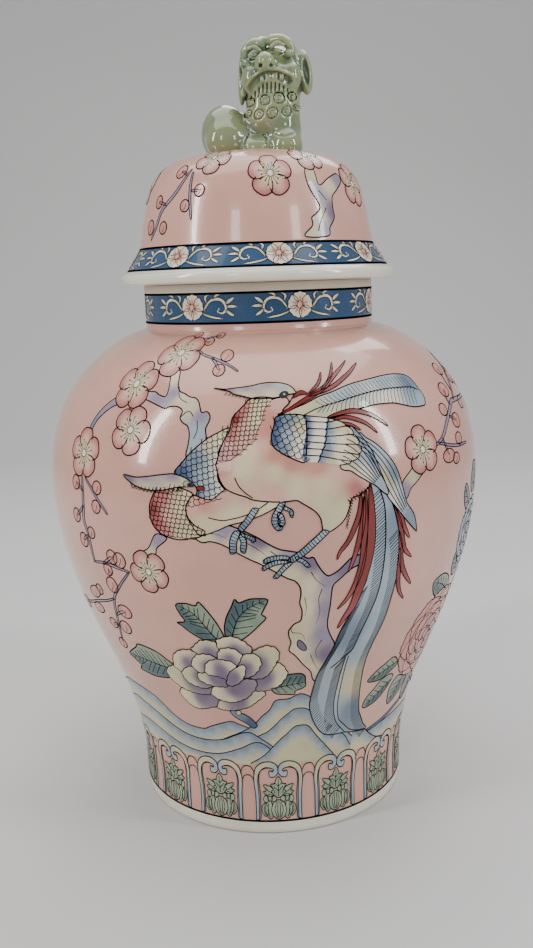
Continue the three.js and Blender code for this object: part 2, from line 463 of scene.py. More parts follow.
def realized(tree, geometry_out):
    return put(tree, "GeometryNodeRealizeInstances", {0: geometry_out}).outputs[0]


def finished(tree, geometry_out, material, selection=True):
    """Set Material on the selected faces."""
    values = {"Geometry": geometry_out, "Selection": selection, "Material": material}
    return put(tree, "GeometryNodeSetMaterial", values).outputs[0]


def named(tree, name, kind):
    node = put(tree, "GeometryNodeInputNamedAttribute", {"Name": name}, data_type=kind)
    return node.outputs["Attribute"]


# %% The tree for the walls
ZONES = 6
WELD = 0.00002


def wall_tree():
    """Wraps a flat grid into a closed wall, and gives each zone of it its own finish."""
    sockets = [("Weld", "Float", WELD)] + [(f"Finish {zone}", "Material", None) for zone in range(ZONES)]
    tree, start, end = new_modifier_tree("turned_wall", sockets)
    closed = {"Geometry": wrapped(tree, start, start["Geometry"]), "Distance": start["Weld"]}
    out = realized(tree, put(tree, "GeometryNodeMergeByDistance", closed).outputs[0])
    zone_of = named(tree, "zone", "INT")
    for zone in range(ZONES):
        here = put(tree, "FunctionNodeCompare", data_type="INT", operation="EQUAL")
        feed(tree, here, {2: zone_of, 3: zone})
        out = finished(tree, out, start[f"Finish {zone}"], here.outputs[0])
    feed(tree, end, {0: out})
    return tree


turned_wall = wall_tree()


# %% Running a tree
def grow(name, mesh, tree, wall_normals=True, **inputs):
    """Runs a tree on a mesh and keeps the result as a plain object with no modifier."""
    host = bpy.data.objects.new(name, mesh)
    bpy.context.scene.collection.objects.link(host)
    modifier = host.modifiers.new("grow", "NODES")
    modifier.node_group = tree
    for item in tree.interface.items_tree:
        if item.in_out == "INPUT" and item.name in inputs:
            modifier[item.identifier] = inputs[item.name]
    graph = bpy.context.evaluated_depsgraph_get()
    result = bpy.data.meshes.new_from_object(host.evaluated_get(graph), depsgraph=graph)
    host.modifiers.remove(modifier)
    host.data = result
    result.name = name
    bpy.data.meshes.remove(mesh)
    if wall_normals:
        face_along_wall(result)
    return host


def face_along_wall(mesh):
    """Shades thin paint with the direction of the wall under it, so that the gloss runs through."""
    count = len(mesh.vertices)
    normals = np.zeros(count * 3)
    mesh.attributes["wall_normal"].data.foreach_get("vector", normals)
    mesh.shade_smooth()
    mesh.normals_split_custom_set_from_vertices(normals.reshape(count, 3))
    mesh.attributes.remove(mesh.attributes["wall_normal"])


def report(piece):
    """Prints how many triangles a piece has and hands it on."""
    triangles = sum(len(p.vertices) - 2 for p in piece.data.polygons)
    print(f"{piece.name}: {triangles} triangles")
    return piece


# %% [markdown]
# ## The wall, neck and lid
# The real jar is two shells: the jar, whose wall, neck and foot are one piece of clay, and the lid.
# They could be revolved with a Screw modifier. The wrapping tree does it as well, and then paint
# and wall are certain to agree. Each shell starts as a flat grid whose rows are closer where the
# outline turns quickly; the rows are the outline's own points, so edges stay crisp.


# %% Flat grids for the shells
def wall_rows(outline, longest=2.2):
    """Distances along the outline: its own points, with more between those that are far apart."""
    marks = length_along(outline)
    rows = [marks[0]]
    for near, far in zip(marks[:-1], marks[1:]):
        parts = max(1, math.ceil((far - near) / longest))
        rows += [near + (far - near) * k / parts for k in range(1, parts + 1)]
    return np.array(rows)


def flat_grid(name, rows, sheet_radius, around, zone_ends):
    """A flat sheet of quads; zone_ends says at which length each zone stops."""
    columns = np.linspace(-math.pi, math.pi, around + 1) * sheet_radius
    x, y = np.meshgrid(columns, rows)
    points = np.stack([x, y, np.zeros_like(x)], -1).reshape(-1, 3) * MM
    row, column = np.mgrid[0 : len(rows) - 1, 0:around]
    corner = row * (around + 1) + column
    quads = np.stack([corner, corner + 1, corner + around + 2, corner + around + 1], -1).reshape(-1, 4)
    mesh = bpy.data.meshes.new(name)
    mesh.from_pydata(points.tolist(), [], quads.tolist())
    middle = np.repeat((rows[:-1] + rows[1:]) / 2, around)
    zones = np.searchsorted(zone_ends, middle)
    mesh.attributes.new("zone", "INT", "FACE").data.foreach_set("value", zones.astype(np.int32) % ZONES)
    return mesh


# %% The jar
UNDER = length_along(foot_underside() + [body_outline[0]])[-1]
NECK_START = UNDER + length_along(body_outline)[-1]
RIM = UNDER + length_along(body_outline + neck_outline)[-1]
AROUND = 192
FOOT_LINE = 8.5
BAND_LOW, BAND_HIGH = NECK_START + 4.0, RIM - 6.0


def make_shell(name, key, zone_ends, finishes):
    """One closed shell, wrapped from a flat grid."""
    outline_curve, sheet_radius = OUTLINES[key]
    loop = jar_loop if key == "jar" else lid_loop
    grid = flat_grid(name, wall_rows(loop), sheet_radius, AROUND, zone_ends)
    inputs = {f"Finish {k}": finish for k, finish in enumerate(finishes)}
    inputs |= {"Outline": outline_curve, "Sheet Radius": sheet_radius * MM, "Weld": WELD}
    shell = grow(name, grid, turned_wall, wall_normals=False, **inputs)
    shell.data.shade_smooth()
    shell.data.attributes.remove(shell.data.attributes["wall_normal"])
    return shell


jar_ends = [UNDER - 0.2, UNDER + FOOT_LINE, BAND_LOW, BAND_HIGH, RIM]
JAR_FINISHES = (bare_biscuit, cream_glaze, pink_glaze, blue_enamel, bare_biscuit, cream_glaze)
jar_shell = report(make_shell("jar_shell", "jar", jar_ends, JAR_FINISHES))
jar_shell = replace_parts(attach(jar_shell, "jar"), "jar_body", "jar_neck")

FLANGE_START, FLANGE_END = 11.0, 24.8
cap_ends = [0.2, FLANGE_START, FLANGE_END, length_along(lid_outline)[-1]]
CAP_FINISHES = (bare_biscuit, cream_glaze, blue_enamel, pink_glaze, cream_glaze, bare_biscuit)
lid_shell = report(make_shell("lid_shell", "cap", cap_ends, CAP_FINISHES))
lid_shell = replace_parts(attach(lid_shell, "lid"), "lid_cap")
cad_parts["lid_locating_ring"].data.materials.clear()
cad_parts["lid_locating_ring"].data.materials.append(bare_biscuit)

# %% [markdown]
# ## Drawing on the sheet
# The painter's order is kept: a thin wash of colour first, then the black line. A wash is a patch of
# triangles inside a smooth outline, and each of its corners remembers a colour mixed from a few
# named spots, the way wet enamel runs together. A line is a curve with a width, which the tree turns
# into a flat ribbon. Washes could be image textures, but a mesh keeps its edge sharp at any size.


# %% Enamel colours
def fired(*look):
    """An enamel colour from its look: red, green and blue from 0 to 1."""
    return np.array(look) ** 2.2


COLOURS = {
    "white": fired(0.93, 0.89, 0.82),
    "cream": fired(0.87, 0.8, 0.66),
    "bone": fired(0.81, 0.76, 0.61),
    "straw": fired(0.8, 0.76, 0.6),
    "blush": fired(0.86, 0.66, 0.6),
    "salmon": fired(0.8, 0.53, 0.47),
    "rose": fired(0.72, 0.42, 0.4),
    "deep_rose": fired(0.62, 0.27, 0.28),
    "rust": fired(0.47, 0.07, 0.03),
    "lavender": fired(0.56, 0.5, 0.59),
    "violet": fired(0.42, 0.35, 0.46),
    "mist": fired(0.62, 0.68, 0.72),
    "slate": fired(0.43, 0.5, 0.57),
    "cobalt": fired(0.22, 0.3, 0.45),
    "teal": fired(0.19, 0.31, 0.33),
    "sage": fired(0.52, 0.58, 0.49),
    "celadon": fired(0.64, 0.68, 0.57),
    "dark": fired(0.1, 0.1, 0.12),
}


# %% Curves and patches
def flow(points, closed=False, step=1.2):
    """A smooth run of points through a few chosen ones, no further apart than the step."""
    p = np.array(points, float)
    p = np.vstack([p[-1], p, p[:2]]) if closed else np.vstack([p[0], p, p[-1]])
    out = []
    for a, b, c, d in zip(p[:-3], p[1:-2], p[2:-1], p[3:]):
        count = max(1, math.ceil(np.linalg.norm(c - b) / step))
        t = (np.arange(count) / count)[:, None]
        square = (2 * a - 5 * b + 4 * c - d) * t**2
        cube = (3 * b - a - 3 * c + d) * t**3
        out.append(0.5 * (2 * b + (c - a) * t + square + cube))
    if not closed:
        out.append(p[-1:])
    return np.vstack(out)


def inside(outline, points):
    """Which points lie inside a closed outline."""
    x, y = points[:, 0][:, None], points[:, 1][:, None]
    ax, ay = outline[:, 0], outline[:, 1]
    bx, by = np.roll(ax, -1), np.roll(ay, -1)
    crosses = (ay > y) != (by > y)
    rise = np.where(by == ay, 1e-9, by - ay)
    return (crosses & (x < (bx - ax) * (y - ay) / rise + ax)).sum(1) % 2 == 1


def mix_spots(points, spots):
    """The colour at each point, mixed from coloured spots by how near they are."""
    places = np.array([spot[:2] for spot in spots], float)
    colours = np.array([COLOURS[spot[2]] for spot in spots])
    near = 1 / (((points[:, None] - places) ** 2).sum(2) + 2.0) ** 1.6
    return near @ colours / near.sum(1)[:, None]


INK_WEIGHT = 1.3


class Sheet:
    """A flat drawing in millimetres: washes of colour, and ink lines with a width."""

    def __init__(self, name, grain=2.2, over=0.0):
        self.name = name
        self.grain = grain
        self.over = over
        self.points, self.faces, self.tints, self.lines = [], [], [], []
        self.shift = np.zeros(2)
        self.turn = np.eye(2)
        self.raised = 0.0

    def place(self, x=0, y=0, size=1.0, turn=0.0, mirror=False, raised=0.0):
        """Later marks are scaled, turned by an angle in degrees, and moved to x, y."""
        c, s = math.cos(math.radians(turn)), math.sin(math.radians(turn))
        flip = np.diag([-1.0 if mirror else 1.0, 1.0])
        self.turn = size * np.array([[c, -s], [s, c]]) @ flip
        self.shift = np.array([x, y], float)
        self.raised = raised

    def placed(self, points):
        return np.array(points, float)[:, :2] @ self.turn.T + self.shift

    def wash(self, outline, spots, lift=0.08, smooth=True, line=0.0):
        """Fills an outline; spots are (x, y, colour), or one colour's name."""
        if isinstance(spots, str):
            spots = [(0, 0, spots)]
        edge = self.placed(outline)
        places = self.placed([spot[:2] for spot in spots])
        spots = [(*place, spot[2]) for place, spot in zip(places, spots)]
        edge = flow(edge, True) if smooth else flow_straight(edge)
        low, high = edge.min(0), edge.max(0)
        grain = self.grain
        rows = np.arange(low[1] + grain / 2, high[1], grain * 0.87)
        grid = [(x + (k % 2) * grain / 2, y) for k, y in enumerate(rows) for x in np.arange(low[0],
            high[0], grain)]
        if grid:
            grid = np.array(grid)
            grid = grid[inside(edge, grid)]
            gaps = ((grid[:, None] - edge) ** 2).sum(2).min(1) if len(grid) else np.zeros(0)
            grid = grid[gaps > (grain * 0.35) ** 2]
        corners = np.vstack([edge, grid]) if len(grid) else edge
        count = len(edge)
        ring = [(k, (k + 1) % count) for k in range(count)]
        found = geometry.delaunay_2d_cdt(
            [Vector(c) for c in corners], ring, [list(range(count))], 1, 0.0001,
        )
        flat = np.array([tuple(v) for v in found[0]])
        base = len(self.points)
        self.points += [(x, y, lift + self.raised + self.over) for x, y in flat]
        self.tints += list(mix_spots(flat, spots))
        for face in found[2]:
            a, b, c = flat[face[0]], flat[face[1]], flat[face[2]]
            turning = (b[0] - a[0]) * (c[1] - a[1]) - (b[1] - a[1]) * (c[0] - a[0])
            face = face if turning > 0 else face[::-1]
            if abs(turning) > 1e-5:
                self.faces.append([base + k for k in face])
        if line:
            self.line(outline, line, closed=True, lift=lift + 0.02)

    def line(self, points, width=0.5, closed=False, lift=0.15, taper=False):
        """An ink line through points; a tapered one starts thick and ends in a hair."""
        path = self.placed(points)
        share = np.linspace(1, 0.25, len(path)) if taper else np.ones(len(path))
        self.lines.append((path, share * width * INK_WEIGHT / 2, closed, lift + self.raised + self.over))

    def plume(self, points, width, spots, lift=0.1, line=0.3, blunt=0.0):
        """A long brush stroke that swells and ends in a point, with its outline."""
        path = flow(points, step=2.0)
        run = np.gradient(path, axis=0)
        side = np.stack([-run[:, 1], run[:, 0]], 1) / np.maximum(np.hypot(*run.T), 1e-6)[:, None]
        t = np.linspace(0, 1, len(path))
        swell = (np.sin(np.pi * np.clip(t, 0, 1)) ** 0.6 * (1 - blunt) + blunt)[:, None] * width / 2
        if blunt == 0:
            swell = np.maximum(swell, 0.05)
        outline = np.vstack([path + side * swell, (path - side * swell)[::-1]])
        self.wash(outline, spots, lift, smooth=False)
        if line:
            self.line(outline[::2], line, closed=True, lift=lift + 0.05)

    def dot(self, x, y, radius, spots="dark", stretch=1.0, tilt=0.0, lift=0.12, line=0.0):
        """A round or oval spot of enamel."""
        turn = np.linspace(0, 2 * math.pi, 11)[:-1]
        c, s = math.cos(math.radians(tilt)), math.sin(math.radians(tilt))
        oval = np.stack([radius * stretch * np.cos(turn), radius * np.sin(turn)], 1)
        self.wash(oval @ np.array([[c, s], [-s, c]]) + (x, y), spots, lift, line=line)


def flow_straight(points):
    """Straight sides with points close enough to follow a round wall."""
    out = []
    for a, b in zip(points, np.roll(points, -1, axis=0)):
        count = max(1, math.ceil(np.hypot(*(b - a)) / 1.5))
        out += [a + (b - a) * k / count for k in range(count)]
    return np.array(out)


# %% The painting tree
def ink_ribbons(tree, curve, step):
    """Turns flat curves into ribbons as wide as their radii, facing up, marked as ink."""
    smooth = put(tree, "GeometryNodeCurveSplineType", {"Curve": curve}, spline_type="CATMULL_ROM")
    even = put(tree, "GeometryNodeResampleCurve", mode="LENGTH")
    feed(tree, even, {"Curve": smooth.outputs[0], "Length": step})
    level = put(tree, "GeometryNodeSetCurveNormal", {"Curve": even.outputs[0]}, mode="Z_UP")
    width = put(tree, "GeometryNodeCurvePrimitiveLine", {"Start": (-1, 0, 0), "End": (1, 0, 0)})
    sweep = {"Curve": level.outputs[0], "Profile Curve": width.outputs[0]}
    sweep["Scale"] = put(tree, "GeometryNodeInputRadius").outputs[0]
    ribbon = put(tree, "GeometryNodeCurveToMesh", sweep)
    upward = put(tree, "GeometryNodeFlipFaces", {0: ribbon.outputs[0]})
    marked = put(tree, "GeometryNodeStoreNamedAttribute", data_type="BOOLEAN", domain="FACE")
    feed(tree, marked, {"Geometry": upward.outputs[0], "Name": "ink", "Value": True})
    return marked.outputs[0]


def painting_tree():
    """Turns lines into ribbons, joins the washes, repeats the sheet round the jar and wraps it."""
    sockets = [
        ("Lines", "Object", None), ("Brush Step", "Float", 0.0009), ("Repeats", "Int", 1),
        ("Pitch", "Float", 0.05), ("Enamel", "Material", None), ("Ink", "Material", None),
    ]
    tree, start, end = new_modifier_tree("painted_sheet", sockets)
    lines = put(tree, "GeometryNodeObjectInfo", {"Object": start["Lines"]})
    ribbons = ink_ribbons(tree, lines.outputs["Geometry"], start["Brush Step"])
    joined = put(tree, "GeometryNodeJoinGeometry")
    for part in (start["Geometry"], ribbons):
        link(tree, part, joined.inputs[0])
    pitch = put(tree, "ShaderNodeCombineXYZ", {"X": start["Pitch"]})
    places = put(tree, "GeometryNodeMeshLine", mode="OFFSET")
    feed(tree, places, {"Count": start["Repeats"], "Offset": pitch.outputs[0]})
    copies = put(tree, "GeometryNodeInstanceOnPoints")
    feed(tree, copies, {"Points": places.outputs[0], "Instance": joined.outputs[0]})
    sheet = wrapped(tree, start, realized(tree, copies.outputs[0]))
    coloured = finished(tree, sheet, start["Enamel"])
    feed(tree, end, {0: finished(tree, coloured, start["Ink"], named(tree, "ink", "BOOLEAN"))})
    return tree


painted_sheet = painting_tree()


def line_object(sheet):
    """All ink lines of a sheet as one curve object, with half widths as radii."""
    data = bpy.data.curves.new(sheet.name + "_lines", "CURVE")
    data.dimensions = "3D"
    for path, radii, closed, lift in sheet.lines:
        spline = data.splines.new("POLY")
        spline.points.add(len(path) - 1)
        places = np.zeros((len(path), 4))
        places[:, :2] = path * MM
        places[:, 2] = lift * MM
        places[:, 3] = 1
        spline.points.foreach_set("co", places.ravel())
        spline.points.foreach_set("radius", radii * MM)
        spline.use_cyclic_u = closed
    return bpy.data.objects.new(sheet.name + "_lines", data)


def fire(sheet, key, body, repeats=1, pitch=1.0):
    """Wraps a finished sheet on its outline and fixes it to its body."""
    mesh = bpy.data.meshes.new(sheet.name)
    mesh.from_pydata((np.array(sheet.points) * MM).tolist(), [], sheet.faces)
    tint = mesh.color_attributes.new("tint", "FLOAT_COLOR", "POINT")
    tint.data.foreach_set("color", np.column_stack([sheet.tints, np.ones(len(sheet.tints))]).ravel())
    outline_curve, sheet_radius = OUTLINES[key]
    inputs = {"Lines": line_object(sheet), "Repeats": repeats, "Pitch": pitch * MM}
    inputs |= {
        "Outline": outline_curve,
        "Sheet Radius": sheet_radius * MM,
        "Enamel": enamel,
        "Ink": ink,
    }
    piece = grow(sheet.name, mesh, painted_sheet, **inputs)
    if "ink" in piece.data.attributes:
        piece.data.attributes.remove(piece.data.attributes["ink"])
    return report(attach(piece, body))


# %% [markdown]
# ## Prunus blossom
# Prunus flowers open on bare twigs. Each has five round petals that overlap, rose at the rim and
# cream towards the middle, and a ring of dotted stamens. One function paints a flower of any size,
# so that the jar, its back and its lid share the same hand.


# %% Blossoms, buds and twigs
def blossom(sheet, x, y, size, turn=90.0, rim="rose", heart="cream"):
    for k in range(5):
        sheet.place(x, y, size, turn + 72 * k, raised=0.03 + 0.012 * k)
        petal = [(0.06, 0.0), (0.24, 0.24), (0.50, 0.43), (0.76, 0.43), (0.95, 0.26), (1.0, 0.0)]
        petal += [(a, -b) for a, b in reversed(petal[1:5])]
        spots = [
            (0.98, 0.1, rim), (0.8, 0.42, rim), (0.8, -0.42, rim), (0.66, 0, "blush"), (0.3, 0, heart),
        ]
        sheet.wash(petal, spots + [(0.15, 0, heart)], 0.1)
        sheet.line(petal[1:-1], 0.5, lift=0.12)
    sheet.place(x, y, size, turn, raised=0.09)
    sheet.dot(0, 0, 0.15, "white", line=0.26)
    for k in range(16):
        reach = 0.40 + 0.12 * (k % 2)
        a = math.radians(22.5 * k + 8)
        c, s = math.cos(a), math.sin(a)
        sheet.line([(0.15 * c, 0.15 * s), (reach * c, reach * s)], 0.2)
        sheet.dot(reach * c, reach * s, 0.035, "dark", lift=0.16)
    sheet.place()


def bud(sheet, x, y, radius, stretch=1.0, tilt=0.0, rim="rose"):
    sheet.place(x, y, radius, tilt)
    ring = [(stretch * math.cos(a), math.sin(a)) for a in np.linspace(0, 2 * math.pi, 9)[:-1]]
    sheet.wash(
        ring, [(0.8 * stretch, 0.3, rim), (-0.7, 0.5, rim), (0, -0.4, "salmon"), (0, 0.3, "blush")],
        0.13, line=0.5,
    )
    sheet.line([(-0.25, -0.75), (0.15, -0.2), (0.2, 0.3)], 0.25, lift=0.17)
    sheet.place()


def twig(sheet, points, width=1.1, colour="lavender", line=0.38):
    """A thin tapering twig: one brush stroke with an outline."""
    sheet.plume(points, width, colour, 0.09, line, blunt=0.45)

# %% [markdown]
# ## The blossoming branch on the left
# An old limb leans in from the top, breaks into hooked stems and carries the flowers down the side.
# Its bark is cream on the lit side and lavender in shade, with hollow knots.

# %% Branches and blossoms, left
branches = Sheet("prunus_branches")
limb = [
    (-52.2, 276), (-50.8, 272), (-49.5, 266.5), (-47.2, 263.4), (-44, 262.2), (-40.4, 260.4),
    (-36.7, 259.7), (-34.5, 257.5), (-32.6, 252.9), (-31.7, 252), (-29, 252.5), (-27.2, 250.2),
    (-27.5, 247.5), (-29, 243.8), (-28.4, 239), (-30, 233), (-38, 230), (-37.6, 236), (-37.4, 241.1),
    (-39, 245.2), (-41.7, 246.7), (-43.8, 249.3), (-43.1, 252.9), (-46.7, 255.1), (-51.3, 254.9),
    (-54.5, 254), (-62.2, 256.5), (-69.5, 258.4), (-78, 257.6), (-84, 256), (-92.2, 252.8),
    (-99.5, 246.9), (-102.6, 241.9), (-103.3, 238.4), (-105.8, 238.4), (-104.5, 244.7), (-99.5, 252),
    (-90.8, 258.8), (-78, 262), (-64.5, 262.9), (-60.4, 261.3), (-55.6, 260.4), (-55.1, 264.7),
    (-56.3, 270.2), (-57.6, 276),
]
bark = [
    (-54, 272, "cream"), (-50, 262, "lavender"), (-46, 259, "cream"), (-38, 254, "bone"),
    (-33, 250, "lavender"), (-33, 243, "mist"), (-60, 259, "lavender"), (-75, 260, "bone"),
    (-95, 252, "lavender"), (-103, 242, "slate"),
]
branches.wash(limb, bark, 0.09, line=0.5)
branches.line([(-43.8, 249.3), (-41, 252), (-38.5, 252.4), (-36.5, 250)], 0.35)
branches.line([(-48.5, 266), (-46.5, 260), (-41, 257)], 0.3)
branches.line([(-34, 248), (-33.4, 243), (-35, 239)], 0.3)

stem = [
    (-106.7, 215.6), (-106.3, 207.5), (-106.7, 199.3), (-107.6, 192), (-105.4, 184.7), (-104.6, 175),
    (-104.2, 169),
]
TWIGS = [
    stem, [(-104.2, 169.2), (-96.7, 170.4), (-90, 170.2), (-83.3, 169.3), (-75.8, 168.3)],
    [
        (-76.7, 168), (-85.8, 159.2), (-95, 149.2), (-98.3, 138.3), (-100.4, 131.7), (-102.5, 125),
        (-105, 118.3),
    ],
    [(-95, 149.2), (-104.2, 145.8), (-115, 143), (-129, 138.8), (-140, 136.3)],
    [(-104, 215), (-100, 212), (-93, 205), (-86, 198)], [(-106.5, 200), (-111, 196), (-115, 193.5)],
    [(-105, 184), (-109, 182), (-111, 180.5)], [(-106, 208), (-110, 210), (-113, 211.5)],
    [(-96, 170), (-91, 173), (-87.5, 175)], [(-91, 164), (-92, 166), (-93, 167)],
    [(-100, 131), (-103, 131), (-106, 131)], [(-99, 138), (-93, 141), (-89, 142.3)],
    [(-55, 299), (-46, 302.5), (-34, 305.5)],
    [(-46, 292), (-41, 288), (-30, 284), (-20, 279.5), (-13.5, 275)],
    [(-48, 297), (-44, 298), (-40.5, 299)], [(-33, 285), (-29, 281), (-26, 276.3)],
]
for path in TWIGS:
    twig(branches, path, 1.9 if path is stem else 1.5)
joint = [(-66.3, 180.4), (-60.8, 183.8), (-55.8, 191.3), (-49.6, 189.6), (-55.8, 184.2), (-57.9, 180)]
branches.wash(joint, [(-62, 182, "bone"), (-55, 188, "lavender")], 0.09, line=0.45)
BUDS = [
    (-113, 211.5, 3.8), (-93.5, 211, 3.5), (-95, 201, 3.5), (-115, 193.5, 3.8), (-102, 186, 3.2),
    (-111, 180.5, 4), (-87.5, 175, 4), (-82, 174, 4.3), (-93, 167, 3.5), (-93, 158, 4.6),
    (-108, 152, 3.2), (-40.5, 299, 3.8), (-22.5, 286.7, 4.5), (-26, 276.3, 3.9), (-56, 307, 3.4),
    (-34, 306, 3.6),
]
for x, y, radius in BUDS:
    bud(branches, x, y, radius)
for x, y, radius, stretch, tilt in [
    (-115, 149, 3.6, 1.9, 20), (-89, 142.3, 4.1, 1.4, 0), (-118, 138, 3.4, 1.8, 8),
]:
    bud(branches, x, y, radius, stretch, tilt)
for x, y, radius in [(-106, 131, 3.3), (-94, 131, 4.2), (-105.5, 117.5, 3.4), (-140, 136, 4)]:
    bud(branches, x, y, radius, 1.2, 10)
FLOWERS = [
    (-80, 267, 15), (-58.5, 289, 17), (-73, 242, 12.8), (-106.5, 227.5, 13.2), (-63, 170.5, 11.8),
]
for k, (x, y, size) in enumerate(FLOWERS):
    blossom(branches, x, y, size, 90 + 25 * k)

# %% [markdown]
# ## The pair of pheasants
# Two long-tailed birds perch on the old trunk, one in front of the other. Their necks are scaled,
# their bodies are cream with a blush where the brush was turned, and the front bird trails two grey
# tail feathers down the jar with rust-red plumes beside them. The scales and barbs are regular, so
# they come from two small functions; the outlines are drawn one by one.


# %% Scales and barbs
def scales(sheet, outline, size, turn, width=0.27):
    """Rows of little arcs inside an outline, bulging towards an angle in degrees."""
    edge = flow(outline, True)
    a = math.radians(turn)
    ahead, across = np.array([math.cos(a), math.sin(a)]), np.array([-math.sin(a), math.cos(a)])
    middle, reach = edge.mean(0), np.ptp(edge, axis=0).max()
    rows = int(reach / size) + 1
    arc = np.radians(np.linspace(-88, 88, 6))
    for row in range(-rows, rows):
        for column in range(-rows, rows):
            shift = (column + 0.5 * (row % 2)) * size
            centre = middle + ahead * row * size * 0.62 + across * shift
            if inside(edge, centre[None] + ahead * size * 0.35)[0]:
                bulge, spread = np.outer(np.cos(arc) * 1.15, ahead), np.outer(np.sin(arc), across)
                sheet.line(centre + size * 0.5 * (bulge + spread), width)


def barbs(sheet, path, length, lean, gap=1.7, width=0.3, start=0.0):
    """Short parallel strokes along a path, all leaning to one angle in degrees."""
    run = flow(path, step=gap)
    a = math.radians(lean)
    for x, y in run:
        sheet.line(
            [
                (x + start * math.cos(a), y + start * math.sin(a)),
                (x + (start + length) * math.cos(a), y + (start + length) * math.sin(a)),
            ],
            width, lift=0.16,
        )


def between(first, second, share):
    """A line part of the way from one line to another."""
    a, b = flow(first, step=0.5), flow(second, step=0.5)
    count = 9
    a, b = (p[np.linspace(0, len(p) - 1, count).astype(int)] for p in (a, b))
    return a * (1 - share) + b * share


# %% The long tail feathers
birds = Sheet("pheasants", over=0.12)
left_edge = [
    (53.3, 213), (52.8, 190), (52.8, 165.5), (48.3, 154.5), (45.5, 146), (40.5, 134.5), (37.8, 125.5),
    (34, 116.7), (30, 107.8), (28.3, 100), (27, 91), (26.7, 84.5), (29, 76.7), (32.2, 70.6), (36.7, 65),
    (41.7, 61.7), (49.5, 60.2), (59, 59.8),
]
right_edge = [
    (81.7, 57.2), (77.2, 62), (72.8, 68), (69.4, 73), (66.7, 81), (64.8, 89), (63.3, 98), (62.5, 107),
    (62.8, 114), (64.4, 122), (67.2, 131), (69.4, 140), (70.5, 149), (71.7, 160), (72.2, 170),
    (71.7, 180), (70, 188), (64, 205),
]
tail_spots = [
    (56, 200, "mist"), (68, 195, "slate"), (56, 160, "mist"), (68, 150, "mist"), (48, 130, "slate"),
    (60, 125, "mist"), (36, 95, "mist"), (56, 95, "bone"), (45, 80, "mist"), (60, 75, "slate"),
    (35, 72, "mist"),
]
birds.wash(left_edge + [(66, 58.6)] + right_edge, tail_spots, 0.12, line=0.55)
quill = [
    (58.3, 210), (60.8, 202), (61.7, 193), (62.2, 178), (61.7, 163), (60.3, 153), (57.8, 144),
    (53.3, 130.5), (51.7, 124.4), (49.7, 120), (42.8, 114.4), (37.8, 110.5),
]
fold = [
    (46.9, 116.7), (45.9, 109), (45.2, 100), (44.8, 91), (45, 83), (46.7, 75.6), (50, 69), (54.4, 64.4),
    (59.4, 60),
]
inner = [
    (48.9, 117), (48, 109), (47.8, 89), (48.9, 79), (51.7, 71), (57.2, 66), (63.9, 61), (72.8, 58.3),
    (81.7, 57.2),
]
for path, width in [(quill, 0.55), (fold, 0.45), (inner, 0.45)]:
    birds.line(path, width, lift=0.17)
BARBS = [
    (quill[:-2], 7.4, 216), (right_edge[:-1], 7.4, 219), (fold[:-1], 9.0, 228),
    (left_edge[3:-2], 7.5, 46),
]
for path, length, lean in BARBS:
    barbs(birds, path, length, lean, 1.8, 0.3, start=0.3)

# %% Rust-red plumes
RED_LEFT = [
    [(47.8, 210), (46.7, 200), (43.9, 192), (40.5, 185.5), (36.7, 181), (35.2, 177)],
    [(49.5, 208), (48.9, 198), (47.2, 188), (45, 179), (41.7, 169.5)],
    [(50.5, 211), (50, 203), (49.7, 187), (48.9, 173), (46, 162), (41.7, 154), (37, 149)],
    [
        (52.8, 214), (53.5, 198), (53.5, 188), (52.8, 179), (51, 169), (48.3, 158), (45.5, 149),
        (41.7, 143), (38.5, 137),
    ],
]
RED_RIGHT = [
    [(65.9, 203), (68.9, 199), (71.7, 193), (73.9, 188), (77.8, 182)],
    [(67, 200), (70, 193), (72.8, 183), (75.5, 176), (80.8, 171)],
    [(70.5, 187), (72.2, 178), (73.9, 169), (77.8, 162), (83.7, 155)],
    [(71.8, 178), (72.2, 170), (73.3, 160), (75.5, 153), (80.2, 147)],
]
RED_CREST = [
    [
        (8.4, 250), (12.8, 251.6), (18.4, 254.4), (24, 257.2), (28, 259), (36.8, 263.6), (44, 269.2),
        (51.2, 274.4), (57.5, 279),
    ],
    [(26.4, 258.8), (40, 262.8), (49.6, 267.6), (56, 271.2), (64.5, 276.8)],
    [(26.4, 260.4), (32, 264.4), (35.2, 268.2), (37, 272.6)],
    [(34, 262), (40, 267), (44, 272.5), (47, 278.5)],
    [(34, 247.2), (40, 248.6), (48, 249.6), (54.4, 248.6), (61.6, 245.6), (68.5, 240)],
    [(36, 245.6), (44, 246.8), (52, 244.4), (57, 241.4), (61, 237.2)],
    [(36, 244.4), (43.2, 243.6), (48, 242), (51.6, 239.4)],
]
for group, widths in [
    (RED_LEFT, (2.6, 2.8, 3.4, 5.2)), (RED_RIGHT, (2.8, 2.8, 3.0, 2.6)),
    (RED_CREST, (2.4, 2.2, 1.6, 1.6, 2.4, 2.0, 1.5)),
]:
    for path, width in zip(group, widths):
        end = path[-1]
        birds.plume(
            path, width, [(*path[0], "rust"), (*path[len(path) // 2], "rust"), (*end, "deep_rose")],
            0.2, 0.32,
        )

